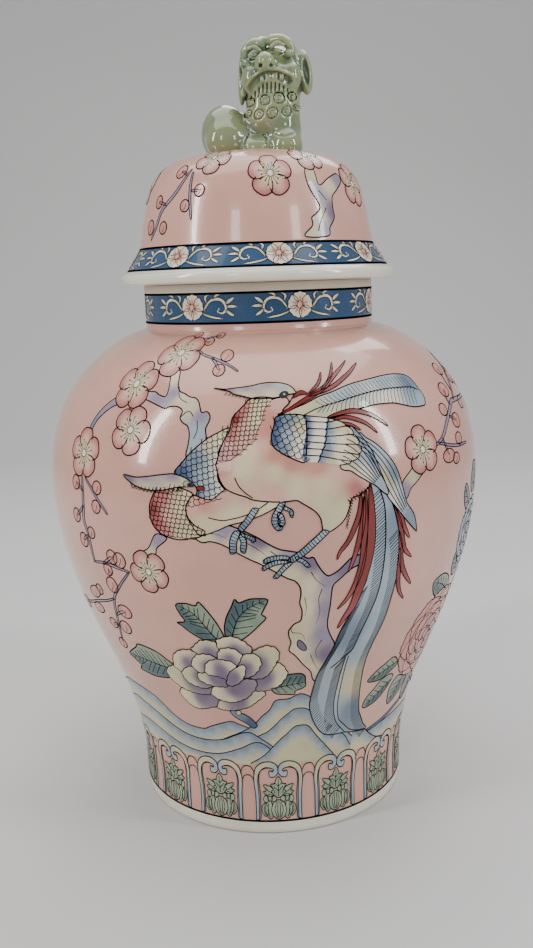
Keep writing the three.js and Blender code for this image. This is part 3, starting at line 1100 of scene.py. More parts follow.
# %% The long grey plume
plume_top = [
    (9.2, 249.2), (16, 252.4), (24, 255.2), (32, 258.4), (40, 260.4), (48, 262.8), (56, 264.6),
    (70.4, 266.4), (78.4, 267.2), (86.4, 267.4), (92.8, 266.8), (97.6, 265.6), (100.5, 263),
    (102.4, 257.2), (103.6, 252.5),
]
plume_low = [
    (101.6, 248), (97.6, 247.4), (92, 247.6), (87.2, 248.6), (78.4, 251), (72, 251.6), (64, 251.6),
    (58.4, 251), (46.4, 249.2), (40, 247.6), (34.4, 246.8), (24, 247.6), (14, 247),
]
birds.wash(
    plume_top + plume_low,
    [
        (20, 252, "bone"), (45, 258, "mist"), (45, 250, "bone"), (75, 264, "mist"), (75, 254, "white"),
        (98, 262, "slate"), (98, 250, "mist"),
    ],
    0.12, line=0.5,
)
plume_mid = [
    (22, 249.2), (28, 251.6), (35.2, 253.6), (41.6, 254.8), (49.6, 256.4), (57.6, 257.8), (65.6, 258.8),
    (76, 259.4), (84, 259.2), (92, 258.8), (97.6, 258), (101.2, 256),
]
birds.line(plume_mid, 0.42, lift=0.2)
for k in range(26):
    x = 34 + 2.6 * k
    y = np.interp(x, [p[0] for p in plume_mid], [p[1] for p in plume_mid])
    low = np.interp(x - 4, [46.4, 58.4, 72, 87, 101], [249.2, 251, 251.6, 248.6, 247.6])
    high = np.interp(x - 4, [24, 40, 56, 78, 97], [255.2, 260.4, 264.6, 267.2, 265.6])
    birds.line([(x, y), (x - 2.5, y - 1.6), (x - 4.5, low + 0.8)], 0.22, lift=0.2)
    birds.line([(x, y), (x - 2.5, y + 1.4), (x - 4.5, high - 0.8)], 0.2, lift=0.2)

# %% The rear bird
rear_neck = [
    (-53.2, 213.9), (-56.1, 210.4), (-57.9, 206.2), (-58.2, 202.1), (-57.3, 197.4), (-54.4, 193.3),
    (-50.2, 190.9), (-44.4, 189.6), (-39.6, 189.8), (-35.5, 190.8), (-32, 191.5), (-29.1, 194.2),
    (-34, 197), (-37.5, 201), (-38.3, 205.6), (-36.7, 209.4), (-35, 213), (-44, 215.5),
]
rear_body = [
    (-33.8, 211.8), (-36.9, 209.2), (-38.4, 205.6), (-38, 201.5), (-36.1, 198), (-32, 192.5),
    (-24, 194.5), (-17, 197.6), (-9, 199.6), (0, 203), (8, 208), (2, 211), (-8, 213), (-17, 215.5),
    (-25.5, 210),
]
rear_back = [
    (-44.1, 222.1), (-40.2, 227.4), (-35.5, 232.7), (-29.1, 238), (-23.2, 241.5), (-16, 244),
    (-17, 236), (-21, 228), (-22, 220), (-18, 213.4), (-20.8, 211.5), (-25.5, 208.6), (-30.2, 206.7),
    (-34.6, 206.4), (-36.1, 208), (-32.6, 212.7), (-33, 216), (-37, 219.5),
]
birds.wash(
    rear_back,
    [
        (-40, 222, "cobalt"), (-34, 212, "cobalt"), (-33, 228, "slate"), (-26, 214, "mist"),
        (-24, 238, "bone"), (-22, 222, "white"), (-28, 222, "mist"), (-22, 212, "white"),
    ],
    0.12, line=0.5,
)
birds.raised = 0.05
scales(birds, rear_back, 3.5, 235)
birds.raised = 0.0
birds.wash(
    rear_body,
    [
        (-35, 207, "blush"), (-30, 208, "salmon"), (-20, 210, "blush"), (-30, 198, "bone"),
        (-15, 204, "cream"), (0, 206, "cream"), (-8, 212, "blush"),
    ],
    0.15, line=0.45,
)
birds.line(
    [(-27.3, 201.2), (-20.8, 199.9), (-14.9, 200.8), (-9.1, 202.4), (-3.2, 205.1), (1.8, 208.5)], 0.4,
    lift=0.22,
)
birds.wash(
    rear_neck,
    [
        (-56, 204, "rust"), (-54, 197, "deep_rose"), (-52, 210, "rose"), (-47, 201, "blush"),
        (-41, 205, "cream"), (-42, 193, "bone"), (-50, 192, "rose"), (-38, 211, "cream"),
    ],
    0.17, line=0.5,
)
birds.raised = 0.1
scales(birds, rear_neck, 3.0, 215)
birds.raised = 0.0
rear_crest = [
    (-74, 219.7), (-65.8, 219.1), (-58.5, 220), (-51.3, 221.1), (-44.9, 221.8), (-39.5, 220.6),
    (-35.4, 218.4), (-34, 216.7), (-36.7, 216.2), (-44, 215.2), (-51.3, 213.6), (-58.5, 213.4),
    (-64.9, 214.5), (-69.5, 216.4),
]
birds.wash(
    rear_crest,
    [
        (-72, 219, "violet"), (-60, 219, "lavender"), (-45, 220, "lavender"), (-60, 215, "bone"),
        (-45, 216, "cream"), (-37, 218, "cream"),
    ],
    0.2, line=0.48,
)
for k in range(13):
    x = -69 + 2.2 * k
    birds.line(
        [(x, 215.8 - 1.6 * math.sin(k / 4)), (x + 1.3, 213.4 - 1.5 * math.sin(k / 4)), (x + 2.4, 215)],
        0.3, lift=0.24,
    )
birds.dot(-30.6, 215.4, 1.1, "rust", 2.0, 0, 0.24, 0.3)
birds.dot(-35.5, 216.8, 1.2, "dark", 1.6, 0, 0.26)
birds.dot(-37.6, 217.3, 1.5, "celadon", 1.2, 0, 0.25, 0.25)

# %% The front bird's body
front_body = [
    (5.6, 258), (3.9, 255.6), (1.5, 253.3), (0.4, 249.8), (-0.2, 246.8), (-2, 243.9), (-3.2, 240.9),
    (-3.8, 238), (-6.7, 236.2), (-10.2, 232.7), (-12.6, 231), (-16.7, 228.6), (-22.7, 227.4),
    (-22.3, 223.9), (-21.4, 220.4), (-19.6, 216.8), (-17, 214.4), (-12.5, 212.4), (-9.1, 211.4),
    (-5.5, 209.8), (-0.2, 208.9), (5.6, 208.4), (10.9, 208.4), (15.3, 208.6), (18.4, 206.8),
    (24, 202.8), (26.8, 198.8), (27.6, 194), (29, 191.4), (34, 193.4), (38.8, 197.4), (41.6, 203.6),
    (43, 207.4), (47.2, 208.6), (52, 212), (55, 216), (50, 222), (44, 226), (36, 228), (26.4, 228.6),
    (20, 228.4), (14.4, 230.4), (8.8, 233.6), (5.2, 238), (6.4, 244.4), (10, 249.8), (12.1, 253.3),
    (15, 255.9), (13, 259),
]
BODY_SPOTS = [
    (3, 250, "salmon"), (1, 242, "salmon"), (6, 256, "blush"), (0, 235, "blush"), (-6, 233, "cream"),
    (6, 231, "salmon"), (14, 227, "salmon"), (26, 224.5, "salmon"), (38, 221.5, "blush"),
    (-20, 224, "salmon"), (-17, 217, "blush"), (-10, 224, "cream"), (5, 222, "cream"),
    (5, 212.5, "blush"), (15, 216, "cream"), (28, 214, "cream"), (36, 203, "bone"), (30, 197, "bone"),
    (46, 212, "rose"), (50, 216, "blush"),
]
birds.wash(front_body, BODY_SPOTS, 0.2, line=0.5)
birds.line([(-13.8, 220.4), (-12, 216.5), (-9.1, 213.3), (-5.5, 210.6)], 0.4, lift=0.28)
for k in range(9):
    x, y = 40.8 - 0.2 * k, 206.6 - 1.5 * k
    birds.line([(x + 0.6, y), (x + 2.3 - 0.15 * k, y - 2.0)], 0.32, lift=0.28)
    birds.line([(40.5 + 1.5 * k, 207.2 + 0.7 * k), (42 + 1.5 * k, 204.9 + 0.7 * k)], 0.32, lift=0.28)
front_neck = [
    (5.6, 258), (3.9, 255.6), (1.5, 253.3), (0.4, 249.8), (-0.2, 246.8), (-2, 243.9), (-3.2, 240.9),
    (-3.8, 238), (-6.7, 236.2), (-10.2, 232.7), (-12.6, 231), (-16.7, 228.6), (-22.7, 227.4),
    (-21.7, 231), (-20.5, 235), (-18.5, 239.2), (-16.4, 242.7), (-15.8, 246.2), (-14.9, 249.5),
    (-12, 252.7), (-9.1, 255.6), (-6.1, 258.6), (0, 259.6),
]
birds.wash(
    front_neck,
    [
        (-20, 232, "deep_rose"), (-16, 241, "rose"), (-13, 248, "rust"), (-10, 253, "rose"),
        (-9, 245, "blush"), (-4, 248, "cream"), (-10, 236, "blush"), (-1, 254, "cream"),
        (-16, 230, "rose"),
    ],
    0.24,
)
birds.line(front_neck[-11:] + [(5.6, 259)], 0.5, lift=0.32)
birds.raised = 0.17
scales(birds, front_neck, 2.9, 222)
birds.place()
crest = [
    (-27, 265.1), (-20.8, 264.4), (-14.9, 264.9), (-6.1, 265.9), (-0.2, 267.1), (5, 267.6),
    (10.9, 267.2), (15.6, 265.8), (18, 263.9), (19, 262.2), (19.6, 260.9), (15, 260.4), (11.5, 259.4),
    (5.6, 258.8), (-0.2, 258.8), (-5.5, 259.1), (-10.2, 260.4), (-14.9, 261.5), (-18.5, 263.3),
]
birds.wash(
    crest,
    [
        (-22, 264.6, "violet"), (-8, 265, "lavender"), (4, 267, "lavender"), (14, 266, "mist"),
        (-8, 261, "cream"), (5, 261, "cream"), (16, 262, "bone"),
    ],
    0.28, line=0.5,
)
for k in range(10):
    birds.line([(-19 + 2.1 * k, 262.4 - 0.42 * k), (-20.4 + 2.1 * k, 261.2 - 0.42 * k)], 0.32, lift=0.3)
birds.dot(12.6, 260.4, 1.9, "dark", 1.5, 20, 0.34)
birds.dot(12.8, 260.6, 0.6, "celadon", 1.2, 0, 0.4)
birds.plume([(17, 258.4), (20, 260.4), (23, 261.2), (26.4, 260)], 2.2, "rust", 0.3, 0.3)
birds.line([(18.9, 260.9), (17.1, 258.6), (15, 255.9), (12.1, 253.3), (10.9, 252.1)], 0.42, lift=0.32)

# %% The front bird's wing
coverts = [
    (8.4, 249.4), (6, 244.4), (4.4, 239.6), (5.2, 234.8), (8.8, 231.6), (14.4, 228.4), (20, 226.4),
    (21, 230), (22, 236), (22.4, 242), (21.6, 249),
]
birds.wash(
    coverts,
    [
        (7, 246, "cobalt"), (6, 238, "cobalt"), (10, 233, "slate"), (14, 247, "slate"),
        (13, 239, "mist"), (19, 243, "bone"), (18, 231, "white"), (19, 236, "white"),
    ],
    0.3, line=0.5,
)
birds.raised = 0.23
scales(birds, coverts, 3.8, 250)
birds.place()
FIRST = [(21.2, 249.2), (22.4, 244.4), (21.6, 238.8), (20, 234), (19.2, 229.2), (20, 226.4)]
SECOND = [(34, 247), (32.8, 243.6), (31.6, 238.8), (30.4, 234), (28, 230), (26.4, 226)]
THIRD = [
    (34, 247), (40, 245.2), (44.8, 241.2), (46.4, 238.4), (48, 234.8), (49.2, 231.6), (48.8, 228.8),
    (47.2, 226.8), (43.2, 224.8), (37.6, 223.8),
]


def partway(p, t):
    """The point at a place between two of a run's points, counted from its start."""
    return np.array([np.interp(t, range(len(p)), p[:, axis]) for axis in (0, 1)])


def feather_band(near, far, rows, first_colour, last_colour, lift):
    """A band of parallel feathers between two lines, from the top one down."""
    a, b = np.array(between(near, near, 0)), np.array(between(far, far, 0))
    for k in range(rows):
        low, high = k / rows * (len(a) - 1), (k + 1) / rows * (len(a) - 1)
        n0, n1, f0, f1 = partway(a, low), partway(a, high), partway(b, low), partway(b, high)
        tip = (f0 + f1) / 2 + (f0 + f1 - n0 - n1) * 0.05
        edge = [n0, n0 * 0.5 + f0 * 0.5, f0, tip, f1, n1 * 0.5 + f1 * 0.5, n1]
        birds.wash(
            edge,
            [
                (*n0, first_colour), (*n1, first_colour), (*f1, last_colour),
                (*n1 * 0.4 + f1 * 0.6, last_colour),
            ],
            lift + 0.004 * k, smooth=False,
        )
        birds.line([n0, n0 * 0.5 + f0 * 0.5, f0, tip, f1], 0.4, lift=lift + 0.08)


feather_band(FIRST, SECOND, 7, "cobalt", "white", 0.3)
feather_band(SECOND, THIRD, 7, "slate", "bone", 0.32)
LONG_TOP = [
    (44.8, 241.2), (49.6, 238.4), (52.8, 234), (56, 228.4), (58.4, 221.2), (60.8, 214.8), (63.4, 207.4),
]
LONG_LOW = [(37.6, 223.8), (43.2, 220.4), (46.5, 218), (49.6, 216), (53, 213.8), (56, 212), (61, 207.6)]
TIP_TOP = [
    (50, 238.2), (53.6, 235.6), (58.4, 232.4), (64, 226.8), (68, 221.2), (70.4, 215.6), (72, 210),
    (73.6, 204.4), (75.2, 200.4), (80, 194), (82.4, 186),
]
TIP_LOW = [
    (46, 230), (52, 226), (56, 219), (59, 212.4), (62.4, 206.4), (65.6, 202.2), (69.6, 197.8),
    (74.4, 192.4), (82, 185),
]
birds.wash(
    TIP_TOP + TIP_LOW[::-1],
    [
        (60, 229, "mist"), (68, 218, "slate"), (60, 214, "bone"), (72, 204, "mist"), (66, 204, "white"),
        (78, 194, "slate"),
    ],
    0.26, line=0.45,
)
for share in (0.2, 0.4, 0.6, 0.8):
    birds.line(between(TIP_TOP, TIP_LOW, share)[:-2], 0.34, lift=0.33)
birds.wash(
    LONG_TOP + LONG_LOW[::-1],
    [
        (50, 236, "slate"), (57, 224, "slate"), (60, 212, "mist"), (42, 223, "bone"),
        (50, 218, "white"), (48, 228, "mist"),
    ],
    0.3, line=0.45,
)
for share in (0.15, 0.3, 0.45, 0.6, 0.75, 0.88):
    birds.line(between(LONG_TOP, LONG_LOW, share)[:-2], 0.34, lift=0.38)


# %% Legs and claws
def leg(path, width, rungs=1.7):
    """A scaled leg: a pale blue stroke crossed by short rungs."""
    birds.plume(path, width, [(*path[0], "mist"), (*path[-1], "slate")], 0.3, 0.4, blunt=0.75)
    run = flow(path, step=rungs)
    slope = np.gradient(run, axis=0)
    for point, step in zip(run[1:-1], slope[1:-1]):
        side = np.array([-step[1], step[0]]) / np.hypot(*step) * width * 0.42
        birds.line([point - side, point + side + step * 0.12], 0.25, lift=0.38)


LEGS = [
    ([(-3.8, 206), (-8, 200), (-12.6, 194.5)], 3.0), ([(-12.6, 195), (-15.5, 190), (-16, 183)], 3.4),
    ([(-12, 194), (-10.5, 189), (-11.5, 183.5)], 2.8),
    ([(-12, 193.5), (-8.8, 191.8), (-5.5, 190.4), (-5.6, 188.6)], 1.9),
    ([(8.8, 208.4), (7, 205), (4.8, 201), (5.2, 196.5), (8, 194.8)], 3.0),
    ([(8, 206), (10.8, 204.6), (12.6, 203.4), (12.4, 200.4)], 1.8),
    ([(6, 203), (8.4, 199.6), (7.6, 196)], 2.6),
    ([(30, 193), (24, 187.8), (17, 182), (11, 178.5)], 3.4),
    ([(12, 179.5), (5, 180.6), (-1.8, 178.8)], 2.4), ([(11, 178.6), (4, 178), (-2.4, 174.8)], 2.3),
    ([(12, 178), (8, 174.6), (3.6, 169.6)], 2.3), ([(14, 180), (18, 178), (21, 174.5)], 2.0),
]
for path, width in LEGS:
    leg(path, width)

# %% [markdown]
# ## The old trunk
# The trunk rises out of the hills, forks under the birds, and is painted like the limb on the left.

# %% The trunk
trunk = Sheet("old_trunk", over=0.08)
trunk_edge = [
    (-34, 191), (-31, 188.6), (-27, 189.2), (-22, 188), (-17.5, 185.7), (-11.5, 182), (-7, 179.5),
    (-2, 177), (9, 170), (14, 167.5), (16.5, 164), (17, 160), (16.5, 155), (17.8, 150), (17.2, 144.5),
    (14, 142.8), (12, 140.5), (10.8, 138.5), (11, 135), (12.2, 131), (11.2, 126), (15, 122),
    (20, 115.5), (25, 110), (28, 103), (38, 100), (42, 112), (38, 127), (36, 131), (33.5, 136),
    (32.2, 141), (32.5, 147), (33, 153), (33.2, 159), (34, 163.5), (38, 167), (43, 171), (48.5, 173.5),
    (50, 178), (43.5, 177.2), (40, 174.5), (36, 171), (32, 169), (30, 169.3), (27.5, 172), (25, 176),
    (23, 179.5), (20, 179.4), (15.5, 182.5), (12, 183.5), (6, 185), (0, 188.5), (-5, 191.8),
    (-13, 195.8), (-20, 197.8), (-29, 196),
]
trunk_spots = [
    (-30, 191, "bone"), (-20, 195, "lavender"), (-15, 187, "cream"), (-3, 190, "violet"),
    (0, 180, "cream"), (12, 182, "lavender"), (12, 171, "bone"), (22, 177, "violet"),
    (22, 165, "cream"), (30, 166, "lavender"), (40, 171, "violet"), (20, 152, "cream"),
    (30, 150, "lavender"), (18, 138, "bone"), (30, 135, "lavender"), (16, 124, "cream"),
    (33, 120, "violet"), (26, 112, "bone"), (34, 104, "lavender"),
]
trunk.wash(trunk_edge, trunk_spots, 0.1, line=0.55)
trunk.wash(
    [(16.5, 132.5), (15.8, 129), (18, 126), (20.8, 125), (21.2, 127), (19.5, 130)], "violet", 0.14,
    line=0.4,
)
for path in [
    [(12, 140.5), (12.8, 137.5), (16.5, 136.8), (19, 135), (20, 131.5)],
    [(19, 158), (20, 152), (19.4, 147)], [(28, 162), (26.4, 156), (27.4, 149), (26, 142)],
    [(22, 172), (25, 167), (30, 163)], [(2, 184), (8, 180), (13, 177)],
    [(-12, 190), (-5, 186), (1, 181)], [(24, 122), (27, 115), (31, 110)],
    [(30, 131), (27, 125), (28, 119)], [(-29, 193.5), (-24, 193), (-19, 191)],
]:
    trunk.line(path, 0.32, taper=True)

# %% [markdown]
# ## Peony and leaves
# The peony is built of fifteen ruffled petals, laid from the back to the front: violet at the base
# of each petal and pale at its rim. The rim's ruffle is a rule, so each petal needs only a few points.


# %% Peony petals and leaves
def ruffled(outline, depth=0.8, length=4.2):
    """An outline with small scallops along it."""
    edge = flow(outline, True, 0.8)
    run = np.concatenate([[0], np.cumsum(np.hypot(*np.diff(edge, axis=0).T))])
    step = np.gradient(edge, axis=0)
    out = np.stack([step[:, 1], -step[:, 0]], 1) / np.hypot(*step.T)[:, None]
    area = (edge[:, 0] * np.roll(edge[:, 1], -1) - np.roll(edge[:, 0], -1) * edge[:, 1]).sum()
    wave = np.abs(np.sin(math.pi * run / length)) * depth
    return edge + out * wave[:, None] * (1 if area > 0 else -1)


def petal(sheet, outline, base, rim, heart, lift):
    """One petal: heart is the point where its dark base lies."""
    edge = ruffled(outline)
    middle = edge.mean(0)
    far = edge[np.argsort(-((edge - heart) ** 2).sum(1))[: len(edge) // 3]]
    spots = [(*heart, base), (*(middle * 0.7 + np.array(heart) * 0.3), base), (*middle, base)]
    spots += [(*p, rim) for p in far[:: max(1, len(far) // 5)]]
    sheet.wash(edge[::2], spots, lift, line=0.45)


def leaf(sheet, outline, midrib, dark="teal", pale="sage", lift=0.1):
    """A leaf with one dark half, a midrib and side veins."""
    edge, rib = flow(outline, True), flow(midrib, step=2.0)
    spots = []
    for point in edge[::6]:
        near = rib[((rib - point) ** 2).sum(1).argmin()]
        along = rib[-1] - rib[0]
        left = along[0] * (point - near)[1] - along[1] * (point - near)[0] > 0
        spots.append((*(near * 0.5 + point * 0.5), dark if left else pale))
    spots.append((*(rib[-1] * 0.9 + rib[0] * 0.1), dark))
    sheet.wash(outline, spots, lift, line=0.55)
    sheet.line(midrib, 0.5, lift=lift + 0.08, taper=True)
    for k in range(2, len(rib) - 2, 2):
        for side in (1, -1):
            near = edge[inside_side(edge, rib, k, side)]
            start, end = rib[k], rib[k] * 0.25 + near * 0.75
            sheet.line([start, start * 0.5 + end * 0.5, end], 0.28, lift=lift + 0.06)


def inside_side(edge, rib, k, side):
    """The outline point that a side vein runs towards."""
    along = rib[min(k + 2, len(rib) - 1)] - rib[k]
    along = along / np.hypot(*along)
    normal = np.array([-along[1], along[0]]) * side
    aim = normal * 0.75 + along * 0.65
    offset = edge - rib[k]
    score = (offset @ aim) / np.maximum(np.hypot(*offset.T), 1e-6) - 0.01 * np.hypot(*offset.T)
    return score.argmax()


peony = Sheet("violet_peony", over=0.1)
L1 = [
    (-50, 153.2), (-44.2, 154.5), (-38.7, 153.6), (-36.7, 156), (-33.3, 152), (-28.7, 144.7),
    (-26, 138.4), (-25.3, 134.7), (-30.5, 131.5), (-37.8, 133), (-44.2, 136.5), (-49.6, 141),
    (-51.6, 142.2), (-46.5, 143.5), (-48.7, 148),
]
L2 = [
    (-23.7, 134.7), (-24.2, 141), (-22.4, 147.5), (-19.2, 153.8), (-17, 158.4), (-15, 156.4),
    (-9.6, 158.4), (-5, 158.7), (-0.1, 157.9), (-2, 153), (-3.5, 149.3), (-1.3, 147.3), (-5, 143),
    (-10.5, 137.5), (-16, 133.4), (-20.5, 133),
]
L3 = [
    (-102.8, 111), (-97.8, 114.7), (-91.5, 118.4), (-88.7, 121), (-82.4, 121), (-74.2, 119.3),
    (-67.8, 115.6), (-62, 110), (-68, 102.5), (-78.7, 100), (-86, 99.7), (-92.4, 100.6), (-97.4, 101.5),
    (-94.2, 104.7), (-98.7, 108),
]
L4 = [
    (0, 101), (5.8, 106.5), (10.4, 109), (18.5, 109.3), (21.7, 107), (22.2, 103), (22.6, 100.2),
    (20.4, 98.4), (15.8, 97), (15.6, 94.5), (9.5, 95), (3, 96),
]
leaf(peony, L1, [(-28, 131), (-34.2, 140), (-37.8, 145.6), (-42.4, 150), (-50, 153.2)])
leaf(peony, L2, [(-21, 134), (-16.5, 146.5), (-9.6, 153.8), (-0.1, 157.9)])
leaf(peony, L3, [(-64, 108), (-78, 110), (-90, 111), (-102.8, 111)])
leaf(peony, L4, [(-1, 100), (8, 101), (15, 102), (22, 103)])
peony.plume(
    [(-29, 84), (-25, 80), (-18, 76.5), (-12, 71)], 5.5, [(-26, 80, "slate"), (-14, 73, "cobalt")], 0.1,
    0.45, blunt=0.5,
)
peony.dot(-23.7, 81.5, 1.8, "bone", lift=0.16, line=0.35)
PETALS = [
    (
        [
            (-60.5, 95.2), (-64.2, 93.8), (-65.3, 91), (-63.7, 87.5), (-59.6, 83.8), (-54.2, 82),
            (-47.8, 83), (-42.4, 84.7), (-38.3, 86), (-36, 94), (-48, 98),
        ],
        (-40, 96),
    ),
    (
        [
            (-38.3, 86), (-37.8, 84.3), (-33.3, 83.4), (-27.8, 83.4), (-21.5, 84.7), (-15, 87),
            (-9.6, 91), (-5, 94.7), (-4.6, 97.5), (-12, 100), (-28, 96),
        ],
        (-25, 97),
    ),
    (
        [
            (3, 117.5), (6.7, 116.5), (9, 113), (10.2, 109.7), (8, 105.6), (4, 101), (-1.5, 99.3),
            (-7, 98.5), (-10, 99.7), (-14, 106), (-4, 114),
        ],
        (-10, 107),
    ),
    (
        [
            (-61.5, 111), (-67, 109.7), (-70, 106.5), (-70, 103.8), (-67.8, 100.2), (-63.3, 97),
            (-57.8, 94.7), (-49.6, 93.6), (-42.4, 94.3), (-38.7, 97), (-34.2, 101), (-48, 107),
        ],
        (-44, 103),
    ),
    (
        [
            (-40, 96.5), (-38.7, 93), (-33.3, 90.6), (-27, 89.7), (-20.5, 91.5), (-15, 94.3),
            (-12.4, 97.5), (-10, 100.2), (-10, 106), (-22, 106), (-34, 102),
        ],
        (-24, 103),
    ),
    (
        [
            (-45.5, 124.3), (-44.2, 127.5), (-40.5, 131), (-37, 132.2), (-31.5, 131.5), (-29.6, 129.3),
            (-29.8, 125.6), (-31.9, 118),
        ],
        (-36, 120),
    ),
    (
        [
            (-29.8, 131), (-27.8, 133.8), (-21.5, 135.5), (-16.5, 133.8), (-12.4, 130.6),
            (-10.5, 126.5), (-17, 120), (-26, 122),
        ],
        (-21, 122),
    ),
    (
        [
            (-10.5, 124.7), (-6, 128), (-1.5, 129.5), (3, 128), (5, 124.7), (4.7, 121), (3, 117.5),
            (0.4, 113), (-4.2, 108.4), (-12, 108), (-16, 116),
        ],
        (-10, 114),
    ),
    (
        [
            (-61, 110.2), (-60.8, 117.5), (-57.8, 121.5), (-53.3, 123.8), (-47.8, 124.5), (-43.7, 122),
            (-44, 115), (-50, 109),
        ],
        (-47, 111),
    ),
    (
        [
            (-57.8, 105.6), (-56.5, 109.3), (-51.5, 112.5), (-46, 113), (-40, 112), (-36, 104),
            (-42.4, 99), (-49.6, 99.3), (-55, 101.5),
        ],
        (-41, 106),
    ),
    (
        [
            (-48.3, 113), (-47, 118.4), (-43.3, 122), (-38.7, 122.7), (-34.2, 122), (-30, 118),
            (-33, 110), (-40.5, 108.5),
        ],
        (-37, 111),
    ),
    (
        [
            (-21, 117.5), (-16.5, 123), (-9.6, 124.5), (-6.5, 122), (-5.5, 118.4), (-7.4, 113.8),
            (-11.5, 109.7), (-20, 108),
        ],
        (-17, 111),
    ),
    (
        [
            (-29.2, 126), (-24.2, 128), (-19.6, 127), (-16.5, 123.8), (-17.8, 120.6), (-21, 116.5),
            (-30, 118),
        ],
        (-24, 118),
    ),
    (
        [
            (-47, 107.5), (-43.3, 109.3), (-33.3, 108.8), (-27, 106.5), (-27.6, 103), (-29.6, 101.3),
            (-37, 101.3), (-42.4, 102.5), (-46, 104.7),
        ],
        (-31, 105),
    ),
    (
        [
            (-40, 109.7), (-38.7, 116.5), (-33.3, 119.7), (-27.8, 119.7), (-22.4, 118.4), (-21, 115.6),
            (-25.5, 111), (-27, 106.5), (-33.3, 108.8),
        ],
        (-30, 110),
    ),
    (
        [
            (-15.5, 117), (-20.5, 114.7), (-25, 111), (-27, 106.5), (-27.6, 103), (-24.2, 102.5),
            (-20, 104.7), (-16.5, 109.3), (-15.5, 113),
        ],
        (-24, 107),
    ),
]
for k, (outline, heart) in enumerate(PETALS):
    petal(
        peony, outline, "violet", "bone" if k % 2 else "cream", np.array(heart, float), 0.12 + 0.03 * k,
    )

# %% [markdown]
# ## The right side
# Round to the right the prunus goes on, and below it a pink peony and its leaves lean over the hills.

# %% Branches and flowers, right
right = Sheet("right_side_flowers")
right.wash(
    [(71, 206), (73, 212), (79, 217), (84, 222), (90, 217), (84, 211.5), (78, 207.5), (75, 203)],
    [(75, 207, "lavender"), (80, 213, "bone"), (86, 217, "violet")], 0.09, line=0.45,
)
RIGHT_TWIGS = [
    ([(100, 226), (108, 229), (118, 236.7), (131.7, 245), (140, 246), (175, 245)], 2.4),
    ([(138, 246), (146, 252), (153, 258), (167, 268), (176, 280)], 2.0),
    ([(103, 227), (116.7, 223.7), (126.7, 222.5), (138, 222.2)], 1.5),
    ([(108, 229), (110, 224), (112, 219.5)], 1.2), ([(122, 239), (127, 237), (130, 235.5)], 1.2),
    ([(130, 244), (128, 249), (131, 253)], 1.2), ([(143, 250), (143, 258), (145, 265)], 1.2),
]
for path, width in RIGHT_TWIGS:
    twig(right, path, width, "lavender")
for x, y, radius, stretch in [
    (112, 219, 3.6, 1.7), (120, 216.5, 3, 1.3), (127, 226, 3.3, 1.3), (130, 235.5, 4, 1.4),
]:
    bud(right, x, y, radius, stretch)
for x, y, radius, stretch in [
    (131, 253, 4.2, 1.6), (145, 265, 4, 1.7), (152, 243, 3.6, 1.5), (160, 258, 4, 1.3),
    (118, 243, 3.4, 1.3),
]:
    bud(right, x, y, radius, stretch)
blossom(right, 89, 225.6, 12.6, 95)
blossom(right, 178, 262, 14, 60)
blossom(right, 190, 236, 13, 100)


# %% The open pink peony
def open_peony(sheet, x, y, size, base, rim, turn=0.0, lift=0.12):
    """A rounder peony than the first: three rings of petals round a curled middle."""
    rings = [(9, 1.0, 0.52, 0.0), (8, 0.74, 0.46, 20.0), (6, 0.48, 0.38, 5.0), (3, 0.25, 0.28, 40.0)]
    for ring, (count, reach, half, offset) in enumerate(rings):
        for k in range(count):
            a = math.radians(turn + offset + 360 * k / count)
            c, s = math.cos(a), math.sin(a)
            shape = [
                (0.1, -half * 0.5), (0.55, -half), (0.95, -half * 0.55), (1.0, 0), (0.95, half * 0.55),
                (0.55, half), (0.1, half * 0.5),
            ]
            outline = [(x + size * reach * (c * u - s * v / max(reach, 0.6)),
                y + size * 0.86 * reach * (s * u + c * v / max(reach, 0.6)))
                       for u, v in shape]
            petal(
                sheet, outline, base, rim, np.array([x + 0.2 * c, y + 0.2 * s]),
                lift + 0.05 * ring + 0.004 * k,
            )


open_peony(right, 128, 112, 33, "deep_rose", "salmon", 15)
open_peony(right, 152, 170, 22, "cobalt", "mist", 0)
RIGHT_LEAVES = [
    (
        [(93, 104), (88, 106), (82, 103), (76, 100), (70, 94), (76, 92), (83, 92), (90, 95), (96, 99)],
        [(95, 101), (84, 98), (71, 94)],
    ),
    (
        [(97, 90), (92, 93), (84, 91), (79, 86), (73, 80), (73, 74), (80, 74), (88, 77), (94, 83)],
        [(96, 88), (86, 82), (74, 75)],
    ),
    (
        [(112, 86), (104, 88), (99, 82), (100, 74), (104, 68), (112, 70), (119, 76), (120, 83)],
        [(114, 85), (109, 78), (104, 69)],
    ),
    (
        [(126, 84), (122, 76), (126, 66), (133, 64), (139, 70), (138, 79)],
        [(131, 83), (131, 74), (132, 65)],
    ),
    (
        [(134, 140), (128, 148), (118, 152), (108, 150), (110, 143), (118, 137), (127, 136)],
        [(131, 139), (120, 145), (109, 149)],
    ),
    (
        [(144, 148), (142, 156), (137, 164), (130, 160), (130, 152), (136, 146)],
        [(141, 148), (136, 155), (132, 161)],
    ),
    (
        [(144, 188), (140, 195), (134, 200), (131, 194), (134, 187), (140, 184)],
        [(142, 187), (137, 192), (133, 198)],
    ),
    (
        [(150, 192), (156, 198), (160, 207), (152, 209), (146, 203), (145, 196)],
        [(149, 193), (152, 200), (157, 207)],
    ),
    (
        [(160, 190), (170, 195), (177, 203), (170, 207), (162, 202), (158, 196)],
        [(160, 191), (167, 198), (175, 204)],
    ),
]
for outline, midrib in RIGHT_LEAVES:
    leaf(right, outline, midrib, lift=0.1)
for path in [
    [(83, 55), (100, 57.5), (115, 61.5), (130, 67), (140, 78)], [(140, 76), (155, 69), (175, 62)],
    [(150, 150), (148, 140), (140, 132)],
]:
    twig(right, path, 2.6, "cobalt")

